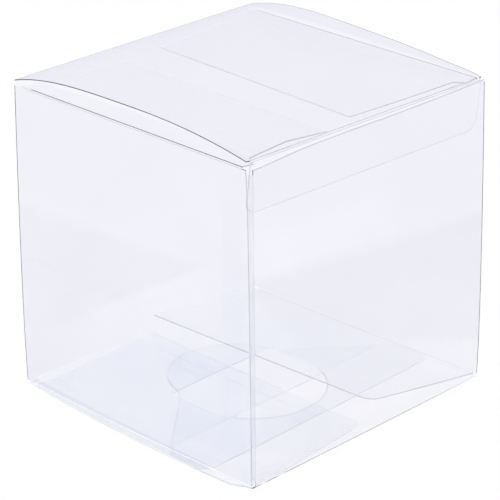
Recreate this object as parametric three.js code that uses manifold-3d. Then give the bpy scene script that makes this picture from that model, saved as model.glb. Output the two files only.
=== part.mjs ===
// A clear plastic cube box for favours and small gifts. It is folded from one creased sheet of clear PET
// and closed by one glued seam. Each panel between two creases is a piece of its own, because the creases
// are its hinges.
// Millimetres, +Z up. The origin is on the surface that the box stands on, under the middle of the box.
// The front wall, which the lid tucks behind, faces -Y. The lid is creased to the back wall.

import * as THREE from 'three';
import { mergeVertices } from 'three/addons/utils/BufferGeometryUtils.js';
import Module from 'manifold-3d';

const wasm = await Module();
wasm.setup();

// Box and sheet
const BOX_WIDTH = 100; // outside, left wall to right wall
const BOX_DEPTH = 100; // outside, front wall to back wall
const SIDE_WALL_HEIGHT = 98.9; // left and right walls, base crease to dust flap crease
const SHEET = 0.3; // thickness of the sheet
const CREASE_GAP = 0.3; // creased strip left free beside each folding line
const LAYER_GAP = 0.3; // air between flaps that lie on each other

// Walls
const LID_STEP = 1.4; // the lid's crease above the dust flaps' creases, so it closes over them
const FRONT_EDGE_STEP = 0.3; // the front wall's raw top edge above the dust flaps' creases
const TAB_WIDTH = 14; // glue tab, crease to free edge
const TAB_END_GAP = 1.5; // tab's ends in from the left wall's creases, at the corner
const TAB_TAPER = 15; // degrees that the tab's ends run in
const ADHESIVE = 0.15; // thickness of the seam's glue
const ADHESIVE_WIDTH = 8; // width of the glue strip, up the middle of the tab
const ADHESIVE_END_GAP = 6; // glue strip's ends in from the tab's ends at its free edge

// Lid
const LID_SIDE_GAP = 0.3; // lid's side edges in from the box's sides
const LID_FRONT_RISE = 1.05; // the tuck crease above the lid's own crease
const LID_BOW = 4.4; // how far the sheet bows up over a straight line between its creases
const BOW_BACK_POWER = 3.4; // fullness of the bow's back half, steep at the crease and flat on top
const BOW_FRONT_POWER = 2.3; // fullness of its front half, a rounder fall
const BOW_STEPS = 20; // facets along the bow
const LID_DIP = 2.15; // the bow's right side lies this much lower than its left side, towards the front
const DIP_START = 0.1; // share of the way to the front where that begins
const DIP_FULL = 0.74; // where it is in full
const DIP_FADE = 0.82; // and from where it runs out to the level tuck crease
const TUCK_CLEARANCE = 0.5; // tuck crease behind the front wall
const TUCK_SIDE_CLEARANCE = 0.5; // tuck flap's ends clear of the glue tab
const TUCK_DEPTH = 16.4; // tuck crease to free edge
const TUCK_CORNER = 4; // radius of its two corners
const TUCK_LEAN = 5.5; // degrees that it leans in, away from the front wall

// Dust flaps, under the lid
const DUST_FLAP_SPLIT = 13.4; // open strip between the two flaps when they lie level
const DUST_FLAP_HANG = 4.3; // degrees that they hang into the box
const DUST_FLAP_BACK_GAP = 2.7; // back edge in from the back wall
const DUST_SHOULDER_GAP = 3; // shoulder in from the front wall
const DUST_SHOULDER_LENGTH = 4.5; // length of the shoulder beside the crease
const DUST_NOTCH = 3.7; // step from the shoulder to the tapered front edge
const DUST_TAPER = 13; // degrees that the front edge runs in

// Base
const BASE_DISH = 2.2; // the base sags this far under the front and back walls' creases
const SIDE_FLAP_TIP_GAP = 0.2; // side flaps end this far before the middle of the box
const SIDE_FLAP_FRONT_GAP = 0.5; // front edge in from the front wall, at the crease
const SIDE_FLAP_FRONT_TAPER = 1.9; // how much further in it runs by the free edge
const SIDE_FLAP_BACK_GAP = 3.2; // back edge in from the back wall, at the crease
const SIDE_FLAP_BACK_TAPER = 0.8; // and how much the back edge does
const SIDE_FLAP_CORNER = 4; // radius of the front corner
const RIGHT_FLAP_LIFT = 8.8; // degrees that the right side flap stands up, as it sprang back
const BASE_SIDE_GAP = 0.4; // main and locking flaps in from the box's sides
const MAIN_FLAP_FRONT_GAP = 19.2; // main flap's free edge in from the front wall
const MAIN_FLAP_CORNER = 4.5; // radius of its free corners
const MAIN_FLAP_RAMP = 29.4; // run over which it comes down from its crease
const WINDOW_WIDTH = 43; // half-moon window that takes the locking tongue
const WINDOW_WEB = 4.3; // strip between the window and the free edge
const HOOK_EDGE_BEHIND = 13; // the window's straight edge, behind the middle of the box
const LOCKING_FLAP_RAMP = 7.4; // run over which the locking flap comes down from its crease
const SHOULDER_BEFORE = 15; // full width of the locking flap ends this far before the middle
const SCORE_BEFORE = 10.5; // score line where the tongue bends, this far before the middle
const TONGUE_SIDE_GAP = 1.5; // tongue beside the window's sides
const TONGUE_CENTRE_GAP = 4; // centre of the tongue's round end, before the hook edge
const TONGUE_CLIMB = 2.3; // run over which the tongue climbs through the window

const ARC_STEPS = 16; // facets on each rounded stretch

// Levels and faces that follow from the sizes
const halfWidth = BOX_WIDTH / 2;
const halfDepth = BOX_DEPTH / 2;
const innerX = halfWidth - SHEET;
const innerY = halfDepth - SHEET;
const layerPitch = SHEET + LAYER_GAP;
const creaseStart = SHEET + CREASE_GAP;
const sideFoot = BASE_DISH + layerPitch;
const sideTop = sideFoot + SIDE_WALL_HEIGHT;
const frontTop = sideTop + FRONT_EDGE_STEP;
const backTop = sideTop + LID_STEP;
const seamX = -(innerX - ADHESIVE);
const tabInnerX = seamX + SHEET;
const tuckCreaseY = -(innerY - TUCK_CLEARANCE);
const tuckCreaseZ = backTop + LID_FRONT_RISE;
const hookY = HOOK_EDGE_BEHIND;
const mainFreeY = -(innerY - MAIN_FLAP_FRONT_GAP);

const clearSheet = new THREE.MeshStandardMaterial({
  color: 0xe6e8f4,
  roughness: 0.08,
  metalness: 0,
  transparent: true,
  opacity: 0.3,
});
const clearAdhesive = new THREE.MeshStandardMaterial({
  color: 0xf2f2ee,
  roughness: 0.35,
  metalness: 0,
  transparent: true,
  opacity: 0.5,
});

function degrees(angle) {
  return THREE.MathUtils.degToRad(angle);
}

function outline(points) {
  return new THREE.Shape(points.map(([x, y]) => new THREE.Vector2(x, y)));
}

// An outline in plan, raised from one level by a height.
function planPrism(shape, bottom, height) {
  const geometry = new THREE.ExtrudeGeometry(shape, {
    depth: height,
    bevelEnabled: false,
    curveSegments: ARC_STEPS,
  });
  return geometry.translate(0, 0, bottom);
}

// A side view, [y, z] points, drawn out along X between two places.
function sideViewPrism(points, fromX, toX) {
  const geometry = planPrism(outline(points), fromX, toX - fromX);
  const turn = new THREE.Matrix4().makeBasis(
    new THREE.Vector3(0, 1, 0),
    new THREE.Vector3(0, 0, 1),
    new THREE.Vector3(1, 0, 0),
  );
  return geometry.applyMatrix4(turn);
}

// A sheet bent along lines that run across the box. Its underside is a list of [y, z] points.
function bentSheet(underside, reachX) {
  const upperSide = underside.map(([y, z]) => [y, z + SHEET]).reverse();
  return sideViewPrism([...underside, ...upperSide], -reachX, reachX);
}

function toSolid(geometry) {
  geometry.deleteAttribute('normal');
  geometry.deleteAttribute('uv');
  const merged = mergeVertices(geometry);
  return new wasm.Manifold(new wasm.Mesh({
    numProp: 3,
    vertProperties: merged.getAttribute('position').array,
    triVerts: Uint32Array.from(merged.index.array),
  }));
}

function toGeometry(solid) {
  const mesh = solid.getMesh();
  const geometry = new THREE.BufferGeometry();
  geometry.setAttribute('position', new THREE.BufferAttribute(mesh.vertProperties, 3));
  geometry.setIndex(new THREE.BufferAttribute(mesh.triVerts, 1));
  geometry.computeVertexNormals();
  return geometry;
}

// The part of a bent sheet that lies over an outline in plan.
function trimSheet(sheet, shape) {
  const cutter = planPrism(shape, -SHEET, sideTop);
  return toGeometry(toSolid(sheet).intersect(toSolid(cutter)));
}

function piece(name, geometry, material = clearSheet) {
  const mesh = new THREE.Mesh(geometry, material);
  mesh.name = name;
  return mesh;
}

// A group that carries a flap on its crease. The flap is drawn level and then turned about the crease.
function onCrease(mesh, position, axis, angle) {
  const group = new THREE.Group();
  group.position.set(...position);
  group.quaternion.setFromAxisAngle(new THREE.Vector3(...axis), degrees(angle));
  group.add(mesh);
  return group;
}

// Walls. Creased corners meet on a mitre. The front left corner is the seam, where the left wall's raw
// edge covers the crease of the glue tab.
function makeWalls() {
  const frontLeftX = -innerX + CREASE_GAP;
  const front = [
    [frontLeftX, -halfDepth],
    [halfWidth, -halfDepth],
    [innerX, -innerY],
    [frontLeftX, -innerY],
  ];
  const right = [
    [halfWidth, -halfDepth],
    [halfWidth, halfDepth],
    [innerX, innerY],
    [innerX, -innerY],
  ];
  const back = [
    [halfWidth, halfDepth],
    [-halfWidth, halfDepth],
    [-innerX, innerY],
    [innerX, innerY],
  ];
  const left = [
    [-halfWidth, halfDepth],
    [-halfWidth, -halfDepth],
    [-innerX, -halfDepth],
    [-innerX, innerY],
  ];
  return [
    piece('front_wall', planPrism(outline(front), BASE_DISH, frontTop - BASE_DISH)),
    piece('right_wall', planPrism(outline(right), sideFoot, SIDE_WALL_HEIGHT)),
    piece('back_wall', planPrism(outline(back), BASE_DISH, backTop - BASE_DISH)),
    piece('left_wall', planPrism(outline(left), sideFoot, SIDE_WALL_HEIGHT)),
  ];
}

// The glue tab is creased to the front wall and lies inside the left wall, with the glue between them.
function makeSeam() {
  const creaseY = -innerY + CREASE_GAP;
  const freeY = creaseY + TAB_WIDTH;
  const taper = TAB_WIDTH * Math.tan(degrees(TAB_TAPER));
  const low = sideFoot + TAB_END_GAP;
  const high = sideTop - TAB_END_GAP;
  const tab = [
    [creaseY, low],
    [freeY, low + taper],
    [freeY, high - taper],
    [creaseY, high],
  ];
  const glueY = (creaseY + freeY) / 2;
  const glueLow = low + taper + ADHESIVE_END_GAP;
  const glueHigh = high - taper - ADHESIVE_END_GAP;
  const glue = [
    [glueY - ADHESIVE_WIDTH / 2, glueLow],
    [glueY + ADHESIVE_WIDTH / 2, glueLow],
    [glueY + ADHESIVE_WIDTH / 2, glueHigh],
    [glueY - ADHESIVE_WIDTH / 2, glueHigh],
  ];
  return [
    piece('glue_tab', sideViewPrism(tab, seamX, tabInnerX)),
    piece('seam_adhesive', sideViewPrism(glue, -innerX, seamX), clearAdhesive),
  ];
}

// Height of the lid's underside at a share of the way from its own crease to the tuck crease.
function lidHeight(share) {
  const side = 1 - 2 * share;
  const power = side > 0 ? BOW_BACK_POWER : BOW_FRONT_POWER;
  return backTop + LID_FRONT_RISE * share + LID_BOW * (1 - Math.abs(side) ** power);
}

// How much lower the lid's right edge is than its left edge, at the same share.
function lidDip(share) {
  const grown = THREE.MathUtils.smoothstep(share, DIP_START, DIP_FULL);
  return LID_DIP * grown * (1 - THREE.MathUtils.smoothstep(share, DIP_FADE, 1));
}

// The bowed sheet is drawn out across the box, then lowered towards its right edge.
function makeLid() {
  const backY = halfDepth - creaseStart;
  const frontY = tuckCreaseY + CREASE_GAP;
  const reachX = halfWidth - LID_SIDE_GAP;
  const underside = [];
  for (let step = 0; step <= BOW_STEPS; step += 1) {
    const share = step / BOW_STEPS;
    underside.push([THREE.MathUtils.lerp(backY, frontY, share), lidHeight(share)]);
  }
  underside.reverse();
  const geometry = bentSheet(underside, reachX);
  const place = geometry.getAttribute('position');
  for (let i = 0; i < place.count; i += 1) {
    const share = (backY - place.getY(i)) / (backY - frontY);
    const across = (place.getX(i) + reachX) / (2 * reachX);
    place.setZ(i, place.getZ(i) - across * lidDip(share));
  }
  return piece('lid_panel', geometry);
}

// The tuck flap is drawn hanging straight down from its crease, with its outer face on the crease.
function makeTuckFlap() {
  const reachX = -tabInnerX - TUCK_SIDE_CLEARANCE;
  const low = -TUCK_DEPTH;
  const cornerX = reachX - TUCK_CORNER;
  const cornerZ = low + TUCK_CORNER;
  const shape = new THREE.Shape();
  shape.moveTo(-reachX, -CREASE_GAP);
  shape.lineTo(-reachX, cornerZ);
  shape.absarc(-cornerX, cornerZ, TUCK_CORNER, Math.PI, 1.5 * Math.PI, false);
  shape.lineTo(cornerX, low);
  shape.absarc(cornerX, cornerZ, TUCK_CORNER, 1.5 * Math.PI, 2 * Math.PI, false);
  shape.lineTo(reachX, -CREASE_GAP);
  const geometry = planPrism(shape, -SHEET, SHEET).rotateX(Math.PI / 2);
  const flap = piece('tuck_flap', geometry);
  return onCrease(flap, [0, tuckCreaseY, tuckCreaseZ], [1, 0, 0], TUCK_LEAN);
}

// A dust flap reaches from its crease towards the middle, side +1 from the left wall, -1 from the right.
function makeDustFlap(name, side) {
  const length = innerX - DUST_FLAP_SPLIT / 2;
  const backY = innerY - DUST_FLAP_BACK_GAP;
  const shoulderY = -innerY + DUST_SHOULDER_GAP;
  const taperStart = DUST_SHOULDER_LENGTH + DUST_NOTCH / 2;
  const taperY = shoulderY + DUST_NOTCH;
  const tipY = taperY + (length - taperStart) * Math.tan(degrees(DUST_TAPER));
  const points = [
    [CREASE_GAP, shoulderY],
    [DUST_SHOULDER_LENGTH, shoulderY],
    [taperStart, taperY],
    [length, tipY],
    [length, backY],
    [CREASE_GAP, backY],
  ];
  const shape = outline(points.map(([x, y]) => [side * x, y]));
  const flap = piece(name, planPrism(shape, 0, SHEET));
  return onCrease(flap, [-side * innerX, 0, sideTop], [0, side, 0], DUST_FLAP_HANG);
}

// A base side flap, under the plane of its crease, so that it can stand up beside its wall.
function makeBaseSideFlap(name, side, lift) {
  const length = innerX - SIDE_FLAP_TIP_GAP;
  const frontY = -innerY + SIDE_FLAP_FRONT_GAP;
  const backY = innerY - SIDE_FLAP_BACK_GAP;
  const tipFrontY = frontY + SIDE_FLAP_FRONT_TAPER;
  const corner = SIDE_FLAP_CORNER;
  const shape = new THREE.Shape();
  shape.moveTo(side * CREASE_GAP, frontY);
  shape.lineTo(side * (length - corner), tipFrontY);
  const startAngle = 1.5 * Math.PI;
  const endAngle = side > 0 ? 2 * Math.PI : Math.PI;
  shape.absarc(side * (length - corner), tipFrontY + corner, corner, startAngle, endAngle, side < 0);
  shape.lineTo(side * length, backY - SIDE_FLAP_BACK_TAPER);
  shape.lineTo(side * CREASE_GAP, backY);
  const flap = piece(name, planPrism(shape, -SHEET, SHEET));
  return onCrease(flap, [-side * innerX, 0, sideFoot], [0, -side, 0], lift);
}

// Underside of the main flap: level over most of the base, then up to its crease.
const mainCreaseY = innerY - CREASE_GAP;
const mainRampY = mainCreaseY - MAIN_FLAP_RAMP;
const mainCreaseZ = BASE_DISH - SHEET;

function mainFlapHeight(y) {
  const share = Math.max(0, (y - mainRampY) / MAIN_FLAP_RAMP);
  return layerPitch + (mainCreaseZ - layerPitch) * share;
}

function makeMainFlap() {
  const reachX = halfWidth - BASE_SIDE_GAP;
  const corner = MAIN_FLAP_CORNER;
  const shape = new THREE.Shape();
  shape.moveTo(reachX, mainCreaseY);
  shape.lineTo(-reachX, mainCreaseY);
  shape.lineTo(-reachX, mainFreeY + corner);
  shape.absarc(-reachX + corner, mainFreeY + corner, corner, Math.PI, 1.5 * Math.PI, false);
  shape.lineTo(reachX - corner, mainFreeY);
  shape.absarc(reachX - corner, mainFreeY + corner, corner, 1.5 * Math.PI, 2 * Math.PI, false);

  const radius = WINDOW_WIDTH / 2;
  const centreY = mainFreeY + WINDOW_WEB + radius;
  const window = new THREE.Path();
  window.moveTo(-radius, hookY);
  window.lineTo(-radius, centreY);
  window.absarc(0, centreY, radius, Math.PI, 2 * Math.PI, false);
  window.lineTo(radius, hookY);
  shape.holes.push(window);

  const underside = [mainFreeY, mainRampY, mainCreaseY].map((y) => [y, mainFlapHeight(y)]);
  return piece('base_main_flap', trimSheet(bentSheet(underside, halfWidth), shape));
}

// The locking flap is one sheet with a score line across it. Its outline is the same on both sides of
// the line: full width, then two slanting edges to the neck, then the round tongue.
const tongueRadius = WINDOW_WIDTH / 2 - TONGUE_SIDE_GAP;
const tongueCentreY = hookY - TONGUE_CENTRE_GAP;
const scoreY = -SCORE_BEFORE;

function lockingOutline() {
  const reachX = halfWidth - BASE_SIDE_GAP;
  const shape = new THREE.Shape();
  shape.moveTo(-reachX, -innerY + CREASE_GAP);
  shape.lineTo(reachX, -innerY + CREASE_GAP);
  shape.lineTo(reachX, -SHOULDER_BEFORE);
  shape.lineTo(tongueRadius, tongueCentreY);
  shape.absarc(0, tongueCentreY, tongueRadius, 0, Math.PI, false);
  shape.lineTo(-reachX, -SHOULDER_BEFORE);
  return shape;
}

function makeLockingFlap() {
  const creaseY = -innerY + CREASE_GAP;
  const underside = [
    [creaseY, BASE_DISH - SHEET],
    [creaseY + LOCKING_FLAP_RAMP, 0],
    [scoreY - CREASE_GAP / 2, 0],
  ];
  return piece('base_locking_flap', trimSheet(bentSheet(underside, halfWidth), lockingOutline()));
}

// Past the score line the tongue climbs through the window and lies on the main flap.
function makeLockTongue() {
  const overMain = (y) => mainFlapHeight(y) + layerPitch;
  const climbEndY = hookY - LAYER_GAP / 2;
  const tipY = tongueCentreY + tongueRadius;
  const underside = [
    [scoreY + CREASE_GAP / 2, 0],
    [climbEndY - TONGUE_CLIMB, 0],
    [climbEndY, overMain(climbEndY)],
    [mainRampY, overMain(mainRampY)],
    [tipY, overMain(tipY)],
  ];
  return piece('base_lock_tongue', trimSheet(bentSheet(underside, halfWidth), lockingOutline()));
}

const box = new THREE.Group();
box.add(
  ...makeWalls(),
  ...makeSeam(),
  makeLid(),
  makeTuckFlap(),
  makeDustFlap('left_dust_flap', 1),
  makeDustFlap('right_dust_flap', -1),
  makeMainFlap(),
  makeLockingFlap(),
  makeLockTongue(),
  makeBaseSideFlap('base_left_side_flap', 1, 0),
  makeBaseSideFlap('base_right_side_flap', -1, RIGHT_FLAP_LIFT),
);

export default box;
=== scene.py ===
"""The looks of a clear plastic cube box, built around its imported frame.

The box is one die-cut sheet of clear PET, folded and glued at one corner. Each panel is drawn here as
a thin bent sheet with its own cut rim, and each crease as a bent strip that joins two panels. Lengths
are in millimetres up to the last step, where a mesh is written in metres. +Z is up, the front wall
faces -Y and the lid is hinged on the back wall.
"""

from __future__ import annotations

import logging
import math
from abc import ABC, abstractmethod
from collections.abc import Callable
from dataclasses import dataclass, field
from enum import Enum

import bpy
import numpy as np
from mathutils import Matrix, Vector
from mathutils.geometry import delaunay_2d_cdt

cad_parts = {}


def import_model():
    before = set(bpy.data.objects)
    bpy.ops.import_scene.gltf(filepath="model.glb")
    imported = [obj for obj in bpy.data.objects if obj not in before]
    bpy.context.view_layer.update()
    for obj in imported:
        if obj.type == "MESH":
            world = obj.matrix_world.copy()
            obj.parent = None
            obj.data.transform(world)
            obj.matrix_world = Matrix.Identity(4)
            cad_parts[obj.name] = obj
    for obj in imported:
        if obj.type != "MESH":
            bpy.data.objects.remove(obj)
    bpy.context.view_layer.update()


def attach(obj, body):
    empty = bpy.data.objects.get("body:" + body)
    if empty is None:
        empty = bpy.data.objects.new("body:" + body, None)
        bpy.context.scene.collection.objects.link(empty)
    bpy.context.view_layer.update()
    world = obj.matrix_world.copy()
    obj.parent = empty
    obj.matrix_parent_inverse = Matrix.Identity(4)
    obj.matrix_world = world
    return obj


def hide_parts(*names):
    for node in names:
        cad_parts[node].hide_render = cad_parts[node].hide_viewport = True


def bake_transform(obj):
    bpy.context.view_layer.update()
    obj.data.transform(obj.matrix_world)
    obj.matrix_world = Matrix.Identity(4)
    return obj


LOG = logging.getLogger("cube_box")
MM = 0.001

Point = tuple[float, float]
Place = tuple[float, float, float]
Colour = tuple[float, float, float]
Surface = Callable[[np.ndarray, np.ndarray], np.ndarray]

HALF = 50.0  # half the box's outside width and depth
SHEET = 0.3  # thickness of the sheet
BEND = 0.45  # outer radius of a crease
TOP_BEND = 0.55  # outer radius of the dust flaps' and the tuck flap's creases
SEAM = 0.02  # hairline between a panel and its crease strip
SIDE_FOOT = 2.5  # underside of the base side flaps at their creases
END_FOOT = 1.9  # underside of the main and locking flaps at theirs
SIDE_TOP = 102.0  # upper face of the dust flaps at their creases
ON_LINE = 0.05  # how near to a line a place on the rim counts as being on it
SHARP = math.radians(35.0)  # an edge sharper than this isn't shaded smooth
WHITE = (1.0, 1.0, 1.0)


class Body(Enum):
    """The moving bodies of the box, by their names in the frame."""

    WALLS = "walls"
    LID = "lid"
    TUCK = "tuck"
    LEFT_DUST = "left_dust"
    RIGHT_DUST = "right_dust"
    LEFT_BASE = "left_base"
    RIGHT_BASE = "right_base"


class Slot(Enum):
    """The record's material slots."""

    SHEET = "clear_sheet"
    ADHESIVE = "clear_adhesive"


class Film(Enum):
    """The finishes of a sheet's faces, by their materials' names. Most are one clear PET, tinted
    lighter or darker part by part as painted light and shade.
    """

    WALL = "clear_pet_wall"
    FAR_WALL = "clear_pet_far_wall"
    LID = "clear_pet_lid"
    FLAP = "clear_pet_flap"
    CURLED_FLAP = "clear_pet_curled_flap"
    RAISED_FLAP = "clear_pet_raised_flap"
    BASE = "clear_pet_base"
    MAIN_FLAP = "clear_pet_main_flap"
    LOCK = "clear_pet_lock"
    TONGUE = "clear_pet_tongue"
    GLUED = "clear_pet_glued"
    STRIP = "creased_pet_strip"
    SOFT_STRIP = "creased_pet_strip_soft"
    DARK_STRIP = "creased_pet_strip_dark"
    FAINT_STRIP = "creased_pet_strip_faint"
    GLUE = "dried_adhesive"


class Rim(Enum):
    """The finishes of a stretch of a sheet's rim, by their materials' names. A cut rim is rough and
    scatters light; its dark tint is painted shade, in darker and paler copies by where the edge shows.
    """

    DARK_CUT = "die_cut_edge_dark"
    CUT = "die_cut_edge"
    PALE_CUT = "die_cut_edge_pale"
    FAINT_CUT = "die_cut_edge_faint"
    LIGHT_CUT = "die_cut_edge_light"
    JOINED = "joined_edge"
    GLUE = "dried_adhesive"


class Zone(Enum):
    """The places where light and shade are painted on the sheet, by the outputs of their node group."""

    FAR_WALLS = "Far Walls"
    LID_SIDE = "Lid Side"
    LEFT_CREASE = "Left Crease"
    BASE_SIDE = "Base Side"


class Side(Enum):
    """A side of the box, by its direction along X."""

    LEFT = -1.0
    RIGHT = 1.0


def arc(centre: Point, radius: float, start: float, end: float, steps: int = 9) -> list[Point]:
    """Returns points along an arc.

    Args:
        centre: The arc's centre.
        radius: Its radius.
        start: The angle of its first point, in degrees.
        end: The angle of its last point, in degrees.
        steps: How many chords it has.

    Returns:
        The points, from the start angle to the end angle.
    """
    angles = np.radians(np.linspace(start, end, steps + 1))
    return [(centre[0] + radius * math.cos(a), centre[1] + radius * math.sin(a)) for a in angles]


def ease(value: np.ndarray) -> np.ndarray:
    """Returns the smooth step of a value, 0 below 0 and 1 above 1."""
    share = np.clip(value, 0.0, 1.0)
    return share * share * (3.0 - 2.0 * share)


def mix(low: float, high: float, share: np.ndarray) -> np.ndarray:
    """Returns the value that lies a share of the way from low to high."""
    return low + (high - low) * share


def link(thing: bpy.types.Object) -> bpy.types.Object:
    """Puts an object in the scene and returns it."""
    bpy.context.scene.collection.objects.link(thing)
    return thing


def smoothed(mesh: bpy.types.Mesh) -> bpy.types.Mesh:
    """Shades a mesh smooth, up to its sharp edges.

    Args:
        mesh: The mesh.

    Returns:
        The same mesh.
    """
    mesh.shade_smooth()
    mesh.set_sharp_from_angle(angle=SHARP)
    return mesh


# Finishes


class Tree:
    """Adds and joins nodes in a node tree with less writing."""

    def __init__(self, tree: bpy.types.NodeTree) -> None:
        """Takes the tree that the nodes go in."""
        self.tree = tree

    def node(self, kind: str, **settings: object) -> bpy.types.Node:
        """Adds a node.

        Args:
            kind: The node's type name.
            settings: Its properties, by name.

        Returns:
            The new node.
        """
        made = self.tree.nodes.new(kind)
        for name, value in settings.items():
            setattr(made, name, value)
        return made

    def set(self, socket: bpy.types.NodeSocket, source: object) -> None:
        """Feeds a socket from another socket, or gives it a plain value.

        Args:
            socket: The socket to feed.
            source: The other socket, or the value.
        """
        if isinstance(source, bpy.types.NodeSocket):
            self.tree.links.new(source, socket)
        else:
            socket.default_value = source

    def maths(self, operation: str, *inputs: object) -> bpy.types.NodeSocket:
        """Adds a maths node.

        Args:
            operation: The operation's name.
            inputs: A socket or a number for each of its inputs.

        Returns:
            The result's socket.
        """
        made = self.node("ShaderNodeMath", operation=operation)
        for socket, source in zip(made.inputs, inputs, strict=False):
            self.set(socket, source)
        return made.outputs[0]

    def step(self, value: object, low: float, high: float) -> bpy.types.NodeSocket:
        """Adds the smooth step of a value.

        Args:
            value: The value's socket.
            low: Where the step is 0.
            high: Where it is 1, over or under that.

        Returns:
            The step's socket.
        """
        made = self.node("ShaderNodeMapRange", interpolation_type="SMOOTHSTEP")
        self.set(made.inputs["Value"], value)
        made.inputs["From Min"].default_value = low
        made.inputs["From Max"].default_value = high
        return made.outputs["Result"]

    def split(self, place: bpy.types.NodeSocket) -> tuple[bpy.types.NodeSocket, ...]:
        """Splits a place into its three parts.

        Args:
            place: The place's socket.

        Returns:
            The sockets of its X, Y and Z.
        """
        made = self.node("ShaderNodeSeparateXYZ")
        self.set(made.inputs[0], place)
        return tuple(made.outputs[axis] for axis in "XYZ")

    def blend(
        self, factor: object, first: object, second: object, **settings: object
    ) -> bpy.types.NodeSocket:
        """Adds a mix of two colours.

        Args:
            factor: How much of the second there is.
            first: The first colour.
            second: The second.
            settings: Other properties of the node, by name.

        Returns:
            The mixed colour's socket.
        """
        made = self.node("ShaderNodeMix", data_type="RGBA", **settings)
        for name, source in (("Factor", factor), ("A", first), ("B", second)):
            self.set(made.inputs[name], source)
        return made.outputs["Result"]

    def noise(
        self, where: object, scale: object, detail: float, roughness: float = 0.5
    ) -> bpy.types.NodeSocket:
        """Adds a noise texture.

        Args:
            where: The socket of the place that it is read at.
            scale: How many of its clouds there are to a metre.
            detail: How many finer noises are added to it.
            roughness: How strong they are.

        Returns:
            The noise's socket.
        """
        made = self.node("ShaderNodeTexNoise")
        self.set(made.inputs["Vector"], where)
        self.set(made.inputs["Scale"], scale)
        self.set(made.inputs["Detail"], detail)
        self.set(made.inputs["Roughness"], roughness)
        return made.outputs["Fac"]


class FilmUnevennessAndPaintedLight:
    """A shader node group for what an extruded sheet shows: faint clouds, scuffs and a slow wave, with
    painted light and shade multiplied into the colour.
    """

    NAME = "film_unevenness_and_painted_light"
    CLOUD_DETAIL = 2.0
    CLOUD_ROUGHNESS = 0.45
    CLOUD_EDGE = (0.32, 0.68)
    SCUFF_SCALE = 240.0
    SCUFF_DETAIL = 4.0
    SCUFF_BLEND = 0.1
    WAVE_SCALE = 26.0
    WAVE_DETAIL = 1.0

    def __init__(self) -> None:
        """Builds the group's tree."""
        self.group = bpy.data.node_groups.new(self.NAME, "ShaderNodeTree")
        face = self.group.interface
        for name, kind in (
            ("Clear Tint", "NodeSocketColor"),
            ("Cloud Tint", "NodeSocketColor"),
            ("Cloud Scale", "NodeSocketFloat"),
            ("Stretch", "NodeSocketVector"),
            ("Zone", "NodeSocketFloat"),
            ("Painted Light Tint", "NodeSocketColor"),
            ("Smooth", "NodeSocketFloat"),
            ("Scuffed", "NodeSocketFloat"),
            ("Wave Height", "NodeSocketFloat"),
        ):
            face.new_socket(name, in_out="INPUT", socket_type=kind)
        for name, kind in (
            ("Colour", "NodeSocketColor"),
            ("Roughness", "NodeSocketFloat"),
            ("Normal", "NodeSocketVector"),
        ):
            face.new_socket(name, in_out="OUTPUT", socket_type=kind)
        self._build()

    def _build(self) -> None:
        """Adds and joins the group's nodes."""
        tree = Tree(self.group)
        given = tree.node("NodeGroupInput").outputs
        wanted = tree.node("NodeGroupOutput").inputs
        drawn = tree.node("ShaderNodeVectorMath", operation="MULTIPLY")
        tree.set(drawn.inputs[0], tree.node("ShaderNodeTexCoord").outputs["Object"])
        tree.set(drawn.inputs[1], given["Stretch"])
        where = drawn.outputs[0]

        clouds = tree.noise(where, given["Cloud Scale"], self.CLOUD_DETAIL, self.CLOUD_ROUGHNESS)
        cloudy = tree.step(clouds, *self.CLOUD_EDGE)
        tint = tree.blend(cloudy, given["Clear Tint"], given["Cloud Tint"])
        # Multiplies in the painted light and shade: the zone's tint darkens the colour where Zone is 1,
        # and a Zone below 0 lightens it.
        zoned = tree.blend(
            given["Zone"], tint, given["Painted Light Tint"], blend_type="MULTIPLY", clamp_factor=False
        )
        tree.set(wanted["Colour"], zoned)

        scuffs = tree.noise(where, self.SCUFF_SCALE, self.SCUFF_DETAIL)
        worn = tree.maths("SMOOTH_MIN", scuffs, cloudy, self.SCUFF_BLEND)
        rough = tree.node("ShaderNodeMapRange")
        tree.set(rough.inputs["Value"], worn)
        tree.set(rough.inputs["To Min"], given["Smooth"])
        tree.set(rough.inputs["To Max"], given["Scuffed"])
        tree.set(wanted["Roughness"], rough.outputs["Result"])

        bump = tree.node("ShaderNodeBump")
        tree.set(bump.inputs["Height"], tree.noise(where, self.WAVE_SCALE, self.WAVE_DETAIL))
        tree.set(bump.inputs["Distance"], given["Wave Height"])
        tree.set(wanted["Normal"], bump.outputs["Normal"])


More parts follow.
